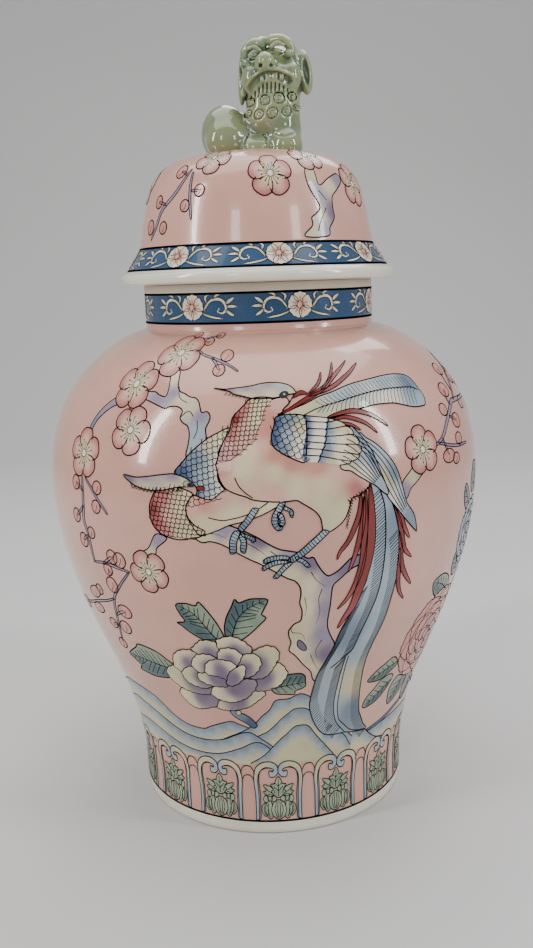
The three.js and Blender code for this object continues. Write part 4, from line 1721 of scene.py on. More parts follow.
# %% [markdown]
# ## Round the back
# The back of a jar like this carries the same motifs more loosely: prunus above, a peony below.

# %% The painted back
back = Sheet("back_flowers")
HALF_TURN = math.pi * BELLY
BACK_LIMB = [
    (-70, 150), (-62, 172), (-48, 190), (-40, 206), (-20, 222), (0, 232), (24, 246), (44, 254),
    (66, 258), (68, 264), (44, 262), (20, 256), (-4, 244), (-26, 232), (-44, 222), (-54, 206),
    (-66, 188), (-78, 168), (-80, 150),
]
back.place(HALF_TURN)
back.wash(
    BACK_LIMB,
    [
        (-75, 155, "lavender"), (-60, 180, "bone"), (-50, 205, "lavender"), (-30, 224, "cream"),
        (0, 240, "violet"), (30, 252, "bone"), (60, 260, "lavender"),
    ],
    0.09, line=0.5,
)
BACK_TWIGS = [
    [(-44, 222), (-60, 238), (-84, 246), (-108, 250)], [(-26, 232), (-30, 254), (-44, 272), (-48, 284)],
    [(0, 234), (18, 226), (40, 222), (64, 226)], [(24, 248), (34, 232), (58, 206), (84, 190)],
    [(66, 261), (86, 262), (104, 254), (112, 240)], [(-48, 192), (-26, 186), (-8, 174), (6, 158)],
]
for path in BACK_TWIGS:
    twig(back, path, 2.2, "lavender")
back.place()
for k, (x, y, size) in enumerate([
    (-108, 252, 14), (-62, 240, 13), (-46, 276, 15), (8, 236, 15), (66, 226, 13), (112, 240, 13),
    (56, 264, 12), (84, 190, 13), (6, 158, 13), (-30, 190, 12),
]):
    blossom(back, HALF_TURN + x, y, size, 90 + 31 * k)
for x, y, radius in [
    (-84, 254, 4), (-74, 248, 3.6), (-30, 262, 3.6), (-54, 288, 3.6), (40, 216, 4), (52, 218, 3.4),
    (62, 200, 3.8), (72, 204, 3.6), (92, 256, 4), (96, 264, 3.6), (-14, 182, 3.8), (-6, 166, 3.6),
    (116, 226, 3.6), (-96, 240, 3.6), (20, 262, 3.4),
]:
    bud(back, HALF_TURN + x, y, radius, 1.15)
open_peony(back, HALF_TURN - 10, 108, 34, "violet", "bone", 8)
open_peony(back, HALF_TURN + 84, 128, 24, "deep_rose", "blush", 30)
BACK_LEAVES = [
    (
        [(-44, 118), (-56, 124), (-70, 124), (-84, 118), (-74, 110), (-60, 106), (-46, 110)],
        [(-45, 114), (-62, 116), (-83, 118)],
    ),
    (
        [(22, 118), (34, 124), (46, 124), (54, 116), (44, 108), (32, 106), (22, 110)],
        [(22, 114), (36, 116), (53, 116)],
    ),
    (
        [(-24, 138), (-34, 150), (-38, 162), (-28, 160), (-16, 152), (-12, 140)],
        [(-18, 139), (-27, 150), (-36, 161)],
    ),
    ([(92, 154), (96, 168), (106, 176), (108, 164), (104, 152)], [(98, 153), (101, 163), (106, 175)]),
    (
        [(60, 112), (50, 102), (48, 90), (58, 92), (68, 100), (70, 108)],
        [(65, 110), (57, 101), (49, 91)],
    ),
    (
        [(104, 116), (114, 110), (126, 110), (122, 120), (112, 126), (104, 124)],
        [(104, 120), (114, 117), (125, 111)],
    ),
]
for outline, midrib in BACK_LEAVES:
    shifted = [(x + HALF_TURN, y) for x, y in outline], [(x + HALF_TURN, y) for x, y in midrib]
    leaf(back, *shifted)

# %% [markdown]
# ## The hills
# Low hills run round the foot in overlapping bands. Each is dark under its ridge and fades to straw,
# so one function paints a hill from its ridge line, and the back of the jar gets ridges from a wave.


# %% Ridges
LAPPET_TOP = 44.0


def hill(sheet, ridge, lift, bottom=LAPPET_TOP, shade="slate", line=0.5):
    """A band from a ridge line down to a level, shaded under the ridge."""
    ridge = np.array(ridge, float)
    outline = [tuple(p) for p in flow(ridge, step=1.6)] + [
        (ridge[-1][0], bottom), (ridge[0][0], bottom),
    ]
    marks = flow(ridge, step=7.0)
    spots = [(x, y - 0.5, shade) for x, y in marks] + [(x, y - 4.5, "mist") for x, y in marks[::2]]
    spots += [(x, max(y - 11.0, bottom), "straw") for x, y in marks]
    spots += [(x, (y - 11 + bottom) / 2, "straw") for x, y in marks[::2] if y - 14 > bottom]
    sheet.wash(outline, spots, lift, smooth=False)
    if line:
        sheet.line(ridge, line, lift=lift + 0.006)


hills = Sheet("hills", grain=2.6)
RIDGES = [
    [
        (-190, 61), (-170, 70), (-140, 82), (-124, 84.5), (-106, 84), (-94, 81), (-82, 72.5),
        (-69.6, 67.5), (-55, 66.5), (-47, 69.5), (-31.5, 74.3), (-24, 72.5), (-14, 69),
    ],
    [(77, 50), (85, 54), (110, 57), (142, 58), (190, 52)],
    [
        (-46, 58), (-33, 63.4), (-24, 67), (-17, 70.6), (-11.5, 74.7), (-7, 79.3), (-1.5, 83.8),
        (3, 90.6), (12, 91.5), (20.4, 94.3), (32, 88), (48, 78), (60, 62), (72, 52),
    ],
    [
        (-20, 61), (-15, 63), (-4, 67.5), (3, 73), (7.6, 77.5), (11.3, 80.2), (16.7, 83.6),
        (25.8, 82.2), (36, 72), (50, 58),
    ],
    [(40, 62), (50, 62.5), (60, 57.5), (67, 50), (74, 45)],
    [(68, 58), (77, 60), (85, 54), (97, 47.5), (110, 44.5)],
    [
        (-190, 55), (-140, 70), (-125, 72), (-106, 69.5), (-92, 65), (-75, 60), (-57, 58.5),
        (-40, 60.5), (-20, 67), (-8, 62), (4, 54),
    ],
    [
        (-190, 47.5), (-145, 54), (-125, 57), (-107, 55.5), (-85, 51), (-65, 49), (-45, 50), (-27, 55),
        (-12, 60), (0, 54), (10, 48),
    ],
    [
        (-19, 45), (-7, 51), (5, 61), (11, 65.6), (15.8, 69.7), (19.5, 71), (27, 70), (34, 62.5),
        (43, 54), (52, 46),
    ],
]
for k, ridge in enumerate(RIDGES):
    hill(hills, ridge, 0.05 + 0.012 * k)
BACK_START, BACK_END = 186.0, 2 * math.pi * BELLY - 186.0
for k, (level, swing, waves, phase) in enumerate([
    (62, 12, 3.5, 0.4), (55, 8, 4.5, 2.0), (48.5, 4, 5.5, 0.2),
]):
    places = np.linspace(BACK_START, BACK_END, 30)
    ease = np.sin(np.linspace(0, np.pi, 30)).clip(0) ** 0.5
    turns = waves * 2 * np.pi * (places - BACK_START) / 407
    heights = level - 4 + ease * (4 + swing * np.sin(turns + phase))
    hill(hills, np.column_stack([places, np.maximum(heights, LAPPET_TOP + 1)]), 0.055 + 0.012 * k)

# %% [markdown]
# ## The lappet border
# Fifteen upright lappets stand round the foot. Only one is drawn; the painting tree repeats it.

# %% One lappet, repeated
LAPPETS = 15
LAPPET_PITCH = 2 * math.pi * BELLY / LAPPETS
lappet = Sheet("lappet_border", grain=2.6, over=0.06)
lappet_centre = 3.5 - 7 * LAPPET_PITCH
SCROLL = [
    (-18, 9.2), (-17.8, 24), (-18.8, 34), (-17, 41), (-11.5, 44), (-5.4, 44), (-1.9, 41.6),
    (-2.4, 38.8), (-5, 37.8), (-8, 38.6),
]
for mirror in (False, True):
    lappet.place(lappet_centre, 0, mirror=mirror)
    lappet.plume(
        SCROLL, 4.2, [(-18, 12, "mist"), (-10, 44, "bone"), (-3, 40, "mist")], 0.24, 0.5, blunt=0.82,
    )
    lappet.line(
        [(-17.2, 10), (-17, 24), (-17.6, 34), (-15.6, 39.5), (-11, 42.4), (-6.5, 42.2)], 0.5, lift=0.32,
    )
    lappet.line([(-19.6, 38), (-22.6, 42.6), (-26, 43.6)], 0.45, lift=0.25)
    lappet.line([(-20.4, 33), (-23, 36.6), (-26, 37.4)], 0.4, lift=0.25)
    for k, (x, low, high, wide) in enumerate([(-12, 11.5, 19, 3.0), (-8.4, 10, 20.6, 3.4)]):
        outline = [
            (x, low), (x - wide, (low + high) / 2), (x - wide * 0.4, high), (x + wide * 0.5, high),
            (x + wide, low + 2),
        ]
        lappet.wash(outline, [(x, low, "sage"), (x, high, "celadon")], 0.12 + 0.02 * k, line=0.42)
        lappet.line(
            [(x + 0.8, low + 1), (x - wide * 0.35, (low + high) / 2), (x, high)], 0.35, lift=0.2,
        )
    for x, y in [(-11, 22), (-7.5, 23), (-4, 22.4)]:
        lappet.dot(x, y, 2.2, [(x, y, "celadon"), (x, y - 2, "sage")], lift=0.17, line=0.4)
    side_leaf = [
        (-4, 24), (-9, 24), (-13.5, 26.4), (-10.6, 27.4), (-13, 31), (-9, 30.6), (-6, 29.4),
        (-3.6, 26.6),
    ]
    lappet.wash(side_leaf, [(-12, 26, "sage"), (-6, 28, "celadon")], 0.18, line=0.42)
    lappet.line([(-4.6, 25.4), (-8.4, 27), (-12, 29.4)], 0.35, lift=0.25)
lappet.place(lappet_centre, 0)
lappet.wash(
    [(0, 9.6), (-4.6, 11.4), (-6.4, 15.4), (-4.4, 20), (0, 21.4), (4.4, 20), (6.4, 15.4), (4.6, 11.4)],
    [(0, 11, "sage"), (0, 20, "celadon"), (-5, 15, "celadon"), (5, 15, "celadon")], 0.18, line=0.45,
)
for x in (-3.6, -1.3, 1.3, 3.6):
    lappet.line([(x * 0.4, 10.6), (x, 15.4), (x * 0.5, 20.6)], 0.36, lift=0.26)
middle_leaf = [
    (0, 23), (-3.4, 24), (-6.4, 27), (-4.4, 28), (-6.6, 31.4), (-3.4, 31.6), (-2.4, 33.8), (0, 36.2),
]
middle_leaf += [(-x, y) for x, y in reversed(middle_leaf[1:-1])]
lappet.wash(middle_leaf, [(-4, 27, "sage"), (4, 27, "sage"), (0, 33, "celadon")], 0.2, line=0.45)
lappet.line([(0, 24), (0, 34.6)], 0.4, lift=0.27)
for side in (-1, 1):
    lappet.line([(0, 27), (side * 4, 30)], 0.32, lift=0.27)
    lappet.line([(0, 30), (side * 3, 32.4)], 0.32, lift=0.27)

# %% [markdown]
# ## The blue bands
# The neck and the lid's flange carry the same kind of border: a cream flower with leafy scrolls on
# either side, seven times round the neck and eight times round the flange, with black edge lines.


# %% One spray and the edge lines
def spray(sheet, x, y, size, petals=5):
    """A small cream flower between two pairs of curling scrolls."""
    for mirror in (False, True):
        sheet.place(x, y, size, mirror=mirror)
        for path, width in [
            (
                [
                    (7, -1.6), (10, 2.6), (14, 4.2), (18, 3.0), (19.6, -0.6), (17.6, -3.2), (15, -2.2),
                    (15.6, -0.6),
                ],
                1.6,
            ),
            ([(6, -3), (10, -4.6), (13.6, -5.4), (17.5, -6)], 1.2),
            ([(12.5, 4), (14.6, 6.4), (17.4, 6.6)], 1.2), ([(9, 2), (7.8, 5), (10, 6.6)], 1.2),
            ([(19.2, 1.2), (21.4, 3.2), (24, 4.6)], 1.7), ([(19.6, 0), (22.4, 0.4), (25.4, 0)], 1.5),
            ([(19, -1.4), (21.4, -3.2), (23.6, -4.6)], 1.6),
        ]:
            sheet.plume(path, width, [(*path[0], "straw"), (*path[-1], "white")], 0.12, 0.22, blunt=0.4)
    for k in range(petals):
        angle = 90 + 360 * k / petals
        sheet.place(x, y, size, angle, raised=0.02 * k)
        lobe = [
            (1, 0.2), (2.4, 2.6), (4.8, 3.6), (6.2, 3.0), (6.4, 1.2), (7, 0), (6.4, -1.2), (6.2, -3),
            (4.8, -3.6), (2.4, -2.6), (1, -0.2),
        ]
        sheet.wash(
            lobe, [(6, 2, "white"), (6, -2, "white"), (2, 0, "salmon"), (4.4, 0, "cream")], 0.16,
            line=0.28,
        )
        sheet.line([(2.4, 0), (4.4, 0)], 0.22, lift=0.18)
    sheet.place(x, y, size, raised=0.12)
    sheet.dot(0, 0, 1.9, [(0, 0, "blush"), (1, 1, "salmon")], line=0.22)
    sheet.place()


def ring_line(sheet, level, radius, width):
    """An ink line right round the jar at one length along the wall."""
    around = np.linspace(-math.pi, math.pi, 97)[:, None] * radius
    sheet.line(np.column_stack([around, np.full(len(around), level)]), width)


NECK_MOTIFS, FLANGE_MOTIFS = 7, 8
BODY_LENGTH = length_along(body_outline)[-1]
OUTLINES["neck"] = (OUTLINES["body"][0], NECK)
neck_pitch = 2 * math.pi * NECK / NECK_MOTIFS
flange_pitch = 2 * math.pi * DOME / FLANGE_MOTIFS
neck_low, neck_high = BODY_LENGTH + 4.0, BAND_HIGH - UNDER
neck_border = Sheet("neck_border", grain=1.6)
spray(neck_border, 22.2 - 3 * neck_pitch, (neck_low + neck_high) / 2 + 0.6, 1.0)
flange_border = Sheet("flange_border", grain=1.6)
spray(flange_border, 11.1 - 4 * flange_pitch, (FLANGE_START + FLANGE_END) / 2 + 0.3, 0.98, 6)
(neck_rings, flange_rings, foot_ring) = (
    Sheet("neck_edge_lines"), Sheet("flange_edge_lines"), Sheet("foot_line"),
)
ring_line(neck_rings, neck_low, NECK, 0.9)
ring_line(neck_rings, neck_high, NECK, 0.9)
ring_line(flange_rings, FLANGE_START, DOME, 0.9)
ring_line(flange_rings, FLANGE_END, DOME, 1.0)
ring_line(foot_ring, FOOT_LINE, BELLY, 0.9)

# %% [markdown]
# ## The lid's painting
# The dome repeats the prunus, with two forked branches that rise from the blue flange.

# %% Blossoms on the dome
dome = Sheet("lid_blossoms", grain=1.9)
fork = [
    (26, 27.5), (31, 33), (31, 37), (34, 39), (37, 43), (32, 52), (31, 60), (34, 66), (38, 66),
    (38, 61), (39, 54), (47, 58), (56, 61), (58, 57), (52, 52), (47, 48), (46, 42), (46, 37), (42, 32),
    (40, 27.5),
]
FORK_SPOTS = [
    (32, 29, "bone"), (38, 31, "lavender"), (36, 38, "cream"), (44, 40, "violet"), (36, 50, "lavender"),
    (34, 60, "bone"), (46, 54, "cream"), (54, 58, "lavender"),
]
DOME_TWIGS = [
    ([(-41, 66), (-44, 60), (-50, 52), (-60, 44), (-64, 36), (-69, 29)], 2.0),
    ([(-39, 64), (-38, 50), (-36, 38)], 1.5), ([(-43, 62), (-46, 64), (-49, 65)], 1.2),
    ([(-38, 53), (-35, 53), (-32, 53)], 1.2), ([(-56, 47), (-60, 48), (-64, 49)], 1.2),
]
DOME_BUDS = [
    (-49, 65, 4.2), (-32, 53, 3.3), (-41, 45.5, 3.2), (-64, 49, 3.5), (-57, 35, 3.3), (-71, 36, 4),
]
for shift in (0, math.pi * DOME):
    dome.place(shift)
    dome.wash(fork, FORK_SPOTS, 0.1, line=0.5)
    dome.line([(34, 30), (37, 36), (41, 42)], 0.32, lift=0.16)
    dome.line([(42, 46), (38, 51)], 0.32, lift=0.16)
    for path, width in DOME_TWIGS:
        twig(dome, path, width, "lavender")
    dome.place()
    for x, y, radius in DOME_BUDS:
        bud(dome, x + shift, y, radius)
    for x, y, size, turn in [
        (9.5, 60.5, 13, 90), (-28, 74, 12.5, 60), (38, 74, 12, 100), (71, 56, 12.5, 80),
        (-92, 62, 12.5, 75),
    ]:
        blossom(dome, x + shift, y, size, turn)

# %% [markdown]
# ## The lion
# The lion is press-moulded and then worked with a tool: a low haunch on the left, a straight chest
# on the right, and a big head turned to us with curled brows, a round nose, a wide downturned mouth
# with square teeth, a combed beard and two rows of curls. Sculpting by hand would do it; here the
# clay is built up from soft lumps whose distance fields melt together, and a surface-net pass turns
# the field into a mesh. Every lump is placed from the middle of the lid's crown, in millimetres.


# %% Clay tools
LION_STEP = 0.55
lion_low, lion_high = np.array([-32.0, -29.0, -6.0]), np.array([35.0, 27.0, 64.0])
counts = np.ceil((lion_high - lion_low) / LION_STEP).astype(int)
(clay_x, clay_y, clay_z) = np.meshgrid(
    *(lion_low[k] + LION_STEP * np.arange(counts[k]) for k in range(3)), indexing="ij",
)


def lump(centre, size, turn=0.0, lean=0.0):
    """Distance to an egg of clay; turn is about the upright, lean tips it to the right, in degrees."""
    x, y, z = clay_x - centre[0], clay_y - centre[1], clay_z - centre[2]
    c, s = math.cos(math.radians(turn)), math.sin(math.radians(turn))
    x, y = c * x + s * y, c * y - s * x
    c, s = math.cos(math.radians(lean)), math.sin(math.radians(lean))
    x, z = c * x - s * z, c * z + s * x
    a, b, h = size
    near = np.sqrt((x / a) ** 2 + (y / b) ** 2 + (z / h) ** 2)
    slope = np.sqrt((x / a**2) ** 2 + (y / b**2) ** 2 + (z / h**2) ** 2)
    return near * (near - 1) / np.maximum(slope, 1e-6)


COIL_REACH = 7  # mm beyond a coil where its distance still counts


def coil(points, radius, thin=1.0):
    """Distance to a rolled coil of clay along points, thinning towards its end."""
    best = np.full(clay_x.shape, 1e3)
    p = flow(points)
    for k, (a, b) in enumerate(zip(p[:-1], p[1:])):
        r = radius * (1 - (1 - thin) * k / max(1, len(p) - 2))
        low, high = np.minimum(a, b) - r - COIL_REACH, np.maximum(a, b) + r + COIL_REACH
        first = [max(0, int((low[i] - lion_low[i]) / LION_STEP)) for i in range(3)]
        last = [max(0, int((high[i] - lion_low[i]) / LION_STEP) + 1) for i in range(3)]
        cut = tuple(slice(*ends) for ends in zip(first, last))
        x, y, z = clay_x[cut] - a[0], clay_y[cut] - a[1], clay_z[cut] - a[2]
        run = b - a
        t = np.clip((x * run[0] + y * run[1] + z * run[2]) / (run @ run), 0, 1)
        away = np.sqrt((x - t * run[0]) ** 2 + (y - t * run[1]) ** 2 + (z - t * run[2]) ** 2) - r
        best[cut] = np.minimum(best[cut], away)
    return best


def press(clay, added, blend):
    """Adds a lump, melting the join over a given width."""
    share = np.clip(0.5 + 0.5 * (clay - added) / blend, 0, 1)
    return clay * (1 - share) + added * share - blend * share * (1 - share)


def carve(clay, tool, blend):
    """Takes a tool's shape out of the clay, with a softened edge."""
    return -press(-clay, tool, blend)


def drawn(points, width):
    """Distance to a line drawn on the front, seen straight on."""
    x, z = clay_x[:, 0, :], clay_z[:, 0, :]
    best = np.full(x.shape, 1e3)
    path = flow(points, step=1.0)
    for a, b in zip(path[:-1], path[1:]):
        run = b - a
        t = np.clip(((x - a[0]) * run[0] + (z - a[1]) * run[1]) / (run @ run), 0, 1)
        best = np.minimum(best, np.hypot(x - a[0] - t * run[0], z - a[1] - t * run[1]))
    return (best - width)[:, None, :]


def engrave(clay, points, width, depth=1.0, front=-4):
    """Scratches a line of even depth into the front of the clay."""
    tool = np.maximum(np.maximum(drawn(points, width), -(clay + depth)), clay_y - front)
    return carve(clay, tool, 0.35)


# %% Body of the lion
clay = lump((-15.4, 3, 11), (13.5, 15, 15.4))
clay = press(clay, lump((-6, 3, 7), (19, 13.5, 11.5)), 6)
clay = press(clay, lump((15, 0, 10), (12.5, 13.5, 20)), 6)
clay = press(clay, lump((14.5, 1, 26), (10.5, 11, 14)), 5)
clay = press(clay, lump((18, -8, 2), (9.5, 10.5, 9)), 4)
clay = press(clay, lump((-15, -8, 6), (11, 8, 10)), 3)
clay = press(clay, lump((2, -10, 1), (9, 6.5, 6)), 4)
clay = press(clay, lump((-20, 13, 8), (7, 9, 12)), 4)
clay = engrave(clay, [(-3.5, 14), (-2, 9), (-4.5, 4), (-3, -2)], 0.5, 0.6, 0)
clay = engrave(clay, [(8, 12), (12, 8.5), (17, 6.5), (22, 7.5)], 0.5, 0.5)
clay = engrave(clay, [(5, 10), (7.5, 5), (6.5, 0)], 0.5, 0.5)
print("body volume", round(float((clay < 0).sum()) * LION_STEP**3 / 1000, 1), "ml")

# %% Head, mane and beard
HEAD_SHIFT = 2.0
clay_x -= HEAD_SHIFT * np.clip((clay_z - 12) / 12, 0, 1)
clay = press(clay, lump((9, 1, 40), (15.2, 15, 16.5)), 4)
clay = press(clay, lump((21.5, 3, 41), (6, 9, 13)), 3)
clay = press(clay, lump((10, -1, 27), (14.6, 13.5, 13)), 4)
clay = press(clay, lump((9.5, -3, 18), (14.2, 12, 10)), 4)
clay = press(clay, lump((10, -6.5, 25), (13, 8.5, 12)), 3)
clay = press(clay, lump((-0.5, -8, 37.5), (6.5, 6.5, 8.5)), 2)
clay = press(clay, lump((19.5, -8, 38), (6, 6.5, 8.5)), 2)
clay = press(clay, lump((9, -12, 39), (9, 6, 7)), 3)
clay = press(clay, lump((5.8, -17.2, 44.4), (5.4, 5.0, 5.2)), 1.6)
clay = press(clay, lump((2.6, -16.0, 42.6), (2.4, 2.8, 2.3)), 1.2)
clay = press(clay, lump((9.6, -16.2, 42.8), (2.5, 2.8, 2.3)), 1.2)
LOCKS = [
    ([(4, -8, 55.4), (-0.6, -10, 55), (-4.4, -9.4, 52), (-5.4, -7.6, 47.6), (-4, -9, 46)], 3.0),
    ([(10, -8.6, 57), (15, -9.8, 57), (19, -9.8, 54.6), (20.6, -8.6, 51), (18.6, -10.4, 50)], 3.0),
    ([(4, -6, 57.4), (8, -9, 56.6), (11.4, -9, 55.6)], 2.4),
    ([(20, -3, 55), (22.6, -3, 50), (23.6, -3, 44), (24, -4, 38)], 2.4),
    ([(-5, -3, 52), (-6.6, -3, 46), (-7.2, -4, 38), (-6.4, -6, 30)], 2.0),
]
for path, radius in LOCKS:
    clay = press(clay, coil(path, radius, 0.7), 1.2)
for side, x, up in ((-1, 0.0, 0.8), (1, 12.8, 2.6)):
    clay = press(clay, lump((x, -13.0, 48.2 + up), (2.1, 1.7, 1.3)), 0.7)
    clay = engrave(clay, [(x - 2.8, 47.2 + up), (x, 46.4 + up), (x + 2.8, 47.4 + up)], 0.3, 0.7)
    clay = engrave(clay, [(x - 2.6, 49.2 + up), (x, 50 + up), (x + 2.8, 49.2 + up)], 0.3, 0.9)
    clay = engrave(clay, [(x - 0.5, 48.2 + up), (x + 0.5, 48.3 + up)], 0.3, 0.7)
    brow = [(x - side * 3.4, -13.6, 50 + up), (x, -14.2, 52 + up), (x + side * 3.4, -12.8, 51 + up)]
    clay = press(clay, coil(brow, 1.1, 0.8), 0.8)
for x in (3.4, 9.2):
    clay = carve(clay, lump((x, -20.8, 42.0), (1.1, 2.4, 1.1)), 0.4)
MOUTH = [
    (-3.4, -12.6, 30.4), (-0.6, -15.4, 33.8), (4, -17.6, 36.6), (9, -18.2, 37.4), (14, -17.2, 36.8),
    (18.6, -14.8, 35),
]
clay = press(clay, coil([(x, y, z + 2.9) for x, y, z in MOUTH], 1.2, 0.9), 1.2)
clay = carve(clay, coil(MOUTH, 2.3), 0.8)
for x, z, half in [(3.9, 35.9, 0.9), (7.3, 36.9, 1.4), (11.0, 37.2, 1.5), (14.6, 36.7, 1.1)]:
    across, down = np.abs(clay_x - x) - half, np.abs(clay_z - z) - 1.6
    tooth = np.maximum(np.maximum(across, down), np.abs(clay_y + 14.6) - 2.2)
    clay = press(clay, tooth, 0.4)
for k in range(11):
    x = -2.4 + 2.2 * k
    drop = 0.045 * (x - 9) ** 2
    clay = engrave(
        clay, [(x + 0.4, 34.4 - drop), (x + 0.2, 31.4 - drop), (x, 29.2 - 0.7 * drop)], 0.34, 1.0, 0,
    )


def curl(clay, x, z, radius):
    """A snail curl: a round button between a ring-shaped groove and a small inner hook."""
    turn = np.linspace(0.5, 2 * math.pi + 0.5, 15)
    ring = [(x + radius * math.cos(a), z + radius * math.sin(a)) for a in turn]
    clay = engrave(clay, ring, 0.3, 0.9, 3)
    hook = [(x + radius * 0.42 * math.cos(a), z + radius * 0.42 * math.sin(a)) for a in turn[:10]]
    return engrave(clay, hook, 0.25, 0.7, 3)


CURLS = [
    (-2.4, 25.4, 2.2), (5.4, 25.6, 2.6), (13.0, 26.4, 2.9), (20.2, 27.4, 2.4), (-3.4, 19.6, 2.0),
    (2.8, 18.4, 2.6), (10, 18.8, 2.8), (17.6, 19.6, 2.6), (22.8, 22, 1.8),
]
for x, z, radius in CURLS:
    clay = press(clay, lump((x, -11.8 + 0.035 * (x - 9.5) ** 2, z), (radius, 3.8, radius)), 1.0)
for x, z, radius in CURLS:
    clay = curl(clay, x, z, radius)

# %% Ears and back of the mane
clay = press(clay, lump((-6.8, 2, 38), (2.4, 5.5, 12.5), 0, 3), 1.2)
clay = press(clay, lump((28.0, 0, 41.6), (4.2, 5.5, 12.0), 0, -7), 1.2)
clay = carve(clay, lump((-7.8, -4.6, 37.4), (1.2, 2.6, 8), 0, 3), 0.8)
clay = carve(clay, lump((28.6, -5.2, 41.4), (1.8, 3.0, 8.4), 0, -7), 0.8)
for k in range(7):
    a = math.radians(20 + 23.5 * k)
    x, y = 9 + 13.2 * math.cos(a), 1 + 13.5 * math.sin(a)
    clay = press(
        clay,
        coil(
            [
                (9 + (x - 9) * 0.5, 1 + (y - 1) * 0.6, 54), (x, y, 47), (x, y * 1.06, 36),
                (9 + (x - 9) * 0.96, y, 24),
            ],
            2.6, 0.8,
        ),
        1.4,
    )
clay = press(clay, coil([(-16, 17, 2), (-22, 16, 10), (-20, 13, 18), (-14, 12, 21)], 4.2, 0.6), 2.0)
for shift in (-2.2, 2.2):
    clay = carve(
        clay, coil([(-17 + shift, 22, 4), (-25 + shift, 19, 11), (-21 + shift, 15, 21)], 0.6), 0.6,
    )
FOOT_SINK = 1.4  # mm the clay goes on below the middle of the crown
CROWN_BOW = 0.0068  # how fast the crown falls away, per mm
clay = np.maximum(clay, -(clay_z + FOOT_SINK + CROWN_BOW * (clay_x**2 + clay_y**2)))
print("finished clay", round(float((clay < 0).sum()) * LION_STEP**3 / 1000, 1), "ml")


# %% From clay to mesh
def surface_net(field):
    """One corner in every cell that the surface crosses, and one quad for every crossed edge."""
    solid = field < 0
    corners = [(a, b, c) for a in (0, 1) for b in (0, 1) for c in (0, 1)]
    shape = tuple(n - 1 for n in field.shape)
    at = lambda grid, o: grid[o[0] : o[0] + shape[0], o[1] : o[1] + shape[1], o[2] : o[2] + shape[2]]
    filled = sum(at(solid, o).astype(int) for o in corners)
    crossed = (filled > 0) & (filled < 8)
    total, weight = np.zeros(shape + (3,)), np.zeros(shape)
    for o in corners:
        for axis in range(3):
            if o[axis]:
                continue
            other = tuple(v + (k == axis) for k, v in enumerate(o))
            f0, f1 = at(field, o), at(field, other)
            cut = (f0 < 0) != (f1 < 0)
            t = np.where(cut, f0 / np.where(f0 == f1, 1, f0 - f1), 0)
            for k in range(3):
                total[..., k] += np.where(cut, o[k] + (t if k == axis else 0), 0)
            weight += cut
    index = np.full(shape, -1)
    index[crossed] = np.arange(crossed.sum())
    cells = np.argwhere(crossed)
    places = lion_low + LION_STEP * (cells + total[crossed] / weight[crossed][:, None])
    quads = []
    for axis in range(3):
        u, v = (axis + 1) % 3, (axis + 2) % 3
        near = [slice(1, -1)] * 3
        near[axis] = slice(0, -1)
        far = list(near)
        far[axis] = slice(1, None)
        a, b = solid[tuple(near)], solid[tuple(far)]
        for flag, order in ((a & ~b, (0, 1, 3, 2)), (~a & b, (0, 2, 3, 1))):
            here = np.argwhere(flag) + np.array([0 if k == axis else 1 for k in range(3)])
            ring = []
            for du, dv in ((1, 1), (0, 1), (1, 0), (0, 0)):
                cell = here.copy()
                cell[:, u] -= du
                cell[:, v] -= dv
                ring.append(index[tuple(cell.T)])
            quads.append(np.stack([ring[k] for k in order], 1))
    return places, np.vstack(quads)


def mould_lion():
    places, quads = surface_net(clay)
    mesh = bpy.data.meshes.new("lion")
    mesh.from_pydata(((places + (0, 0, CROWN)) * MM).tolist(), [], quads.tolist())
    lion = bpy.data.objects.new("lion", mesh)
    bpy.context.scene.collection.objects.link(lion)
    smooth = lion.modifiers.new("thumb", "SMOOTH")
    smooth.factor, smooth.iterations = 0.5, 2
    graph = bpy.context.evaluated_depsgraph_get()
    lion.data = bpy.data.meshes.new_from_object(lion.evaluated_get(graph), depsgraph=graph)
    lion.modifiers.clear()
    lion.data.shade_smooth()
    return lion


lion = mould_lion()
heights = [v.co.z for v in lion.data.vertices]
print("lion stands from", round(min(heights), 4), "to", round(max(heights), 4))


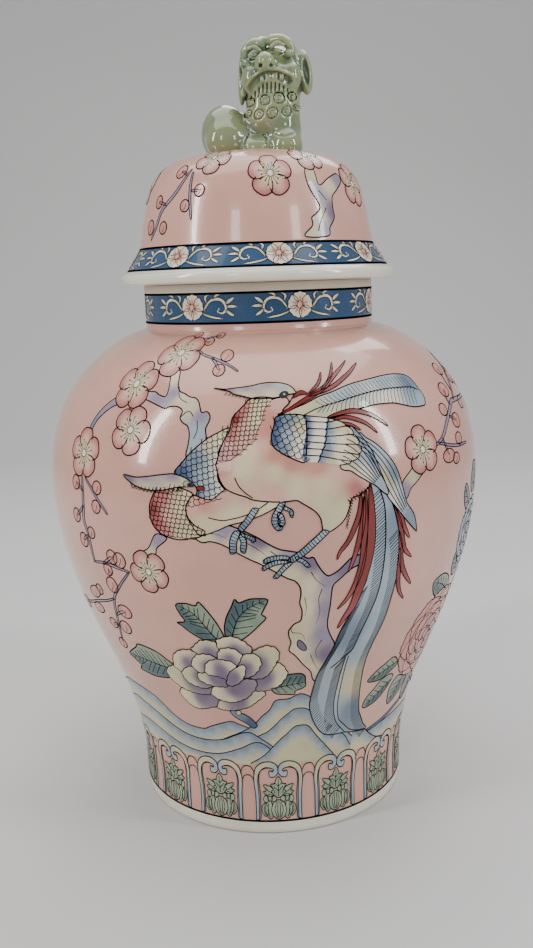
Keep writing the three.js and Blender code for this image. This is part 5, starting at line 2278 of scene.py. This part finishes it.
# %% Celadon: thin on the ridges, pooled and dark in the hollows
def pool_glaze(obj):
    """Stores how hollow each corner is, so that the glaze can gather there."""
    mesh = bmesh.new()
    mesh.from_mesh(obj.data)
    mesh.normal_update()
    hollow = np.zeros(len(mesh.verts))
    for vertex in mesh.verts:
        ring = [edge.other_vert(vertex).co for edge in vertex.link_edges]
        middle = sum(ring, Vector()) / len(ring)
        hollow[vertex.index] = (middle - vertex.co).dot(vertex.normal) / MM
    edges = np.array([[v.index for v in edge.verts] for edge in mesh.edges])
    degree = np.bincount(edges.ravel(), minlength=len(hollow))
    for _ in range(5):
        spread = np.bincount(edges[:, 0], hollow[edges[:, 1]], len(hollow)) + np.bincount(edges[:, 1],
            hollow[edges[:, 0]], len(hollow))
        hollow = 0.4 * hollow + 0.6 * spread / degree
    mesh.free()
    pooled = obj.data.attributes.new("pooled", "FLOAT", "POINT")
    pooled.data.foreach_set("value", np.clip(0.5 + hollow * 9, 0, 1).astype(np.float32))


pool_glaze(lion)


def celadon_material():
    """Green glaze that pools dark in the hollows and wears thin on the ridges."""
    material = fired_material(
        "celadon_glaze", (0.115, 0.185, 0.1), (0.19, 0.225, 0.11), 0.12, 0.04, 1.0, 40,
    )
    tree = material.node_tree
    shader = tree.nodes["Principled BSDF"]
    ground = shader.inputs["Base Color"].links[0].from_socket
    pooled = attribute(tree, "pooled", "Fac")
    depth = ramp(tree, pooled, [(0.3, 1.5, 1.4, 1.3), (0.5, 1, 1, 1), (0.9, 0.16, 0.24, 0.13)])
    feed(tree, shader, {"Base Color": multiplied(tree, ground, depth)})
    return material


celadon = celadon_material()
lion.data.materials.append(celadon)
lion = report(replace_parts(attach(lion, "lid"), "lion_body", "lion_head"))

# %% [markdown]
# ## Firing
# Each sheet is wrapped on the outline that it was drawn for. What was drawn once for a border is
# repeated by the tree: fifteen lappets, seven sprays on the neck and eight on the flange.

# %% Wrap every sheet
for sheet in (hills, branches, right, back, trunk, peony, birds, foot_ring):
    fire(sheet, "body", "jar")
fire(lappet, "body", "jar", repeats=LAPPETS, pitch=LAPPET_PITCH)
fire(neck_border, "neck", "jar", repeats=NECK_MOTIFS, pitch=neck_pitch)
fire(neck_rings, "neck", "jar")
fire(flange_border, "lid", "lid", repeats=FLANGE_MOTIFS, pitch=flange_pitch)
fire(flange_rings, "lid", "lid")
fire(dome, "lid", "lid")
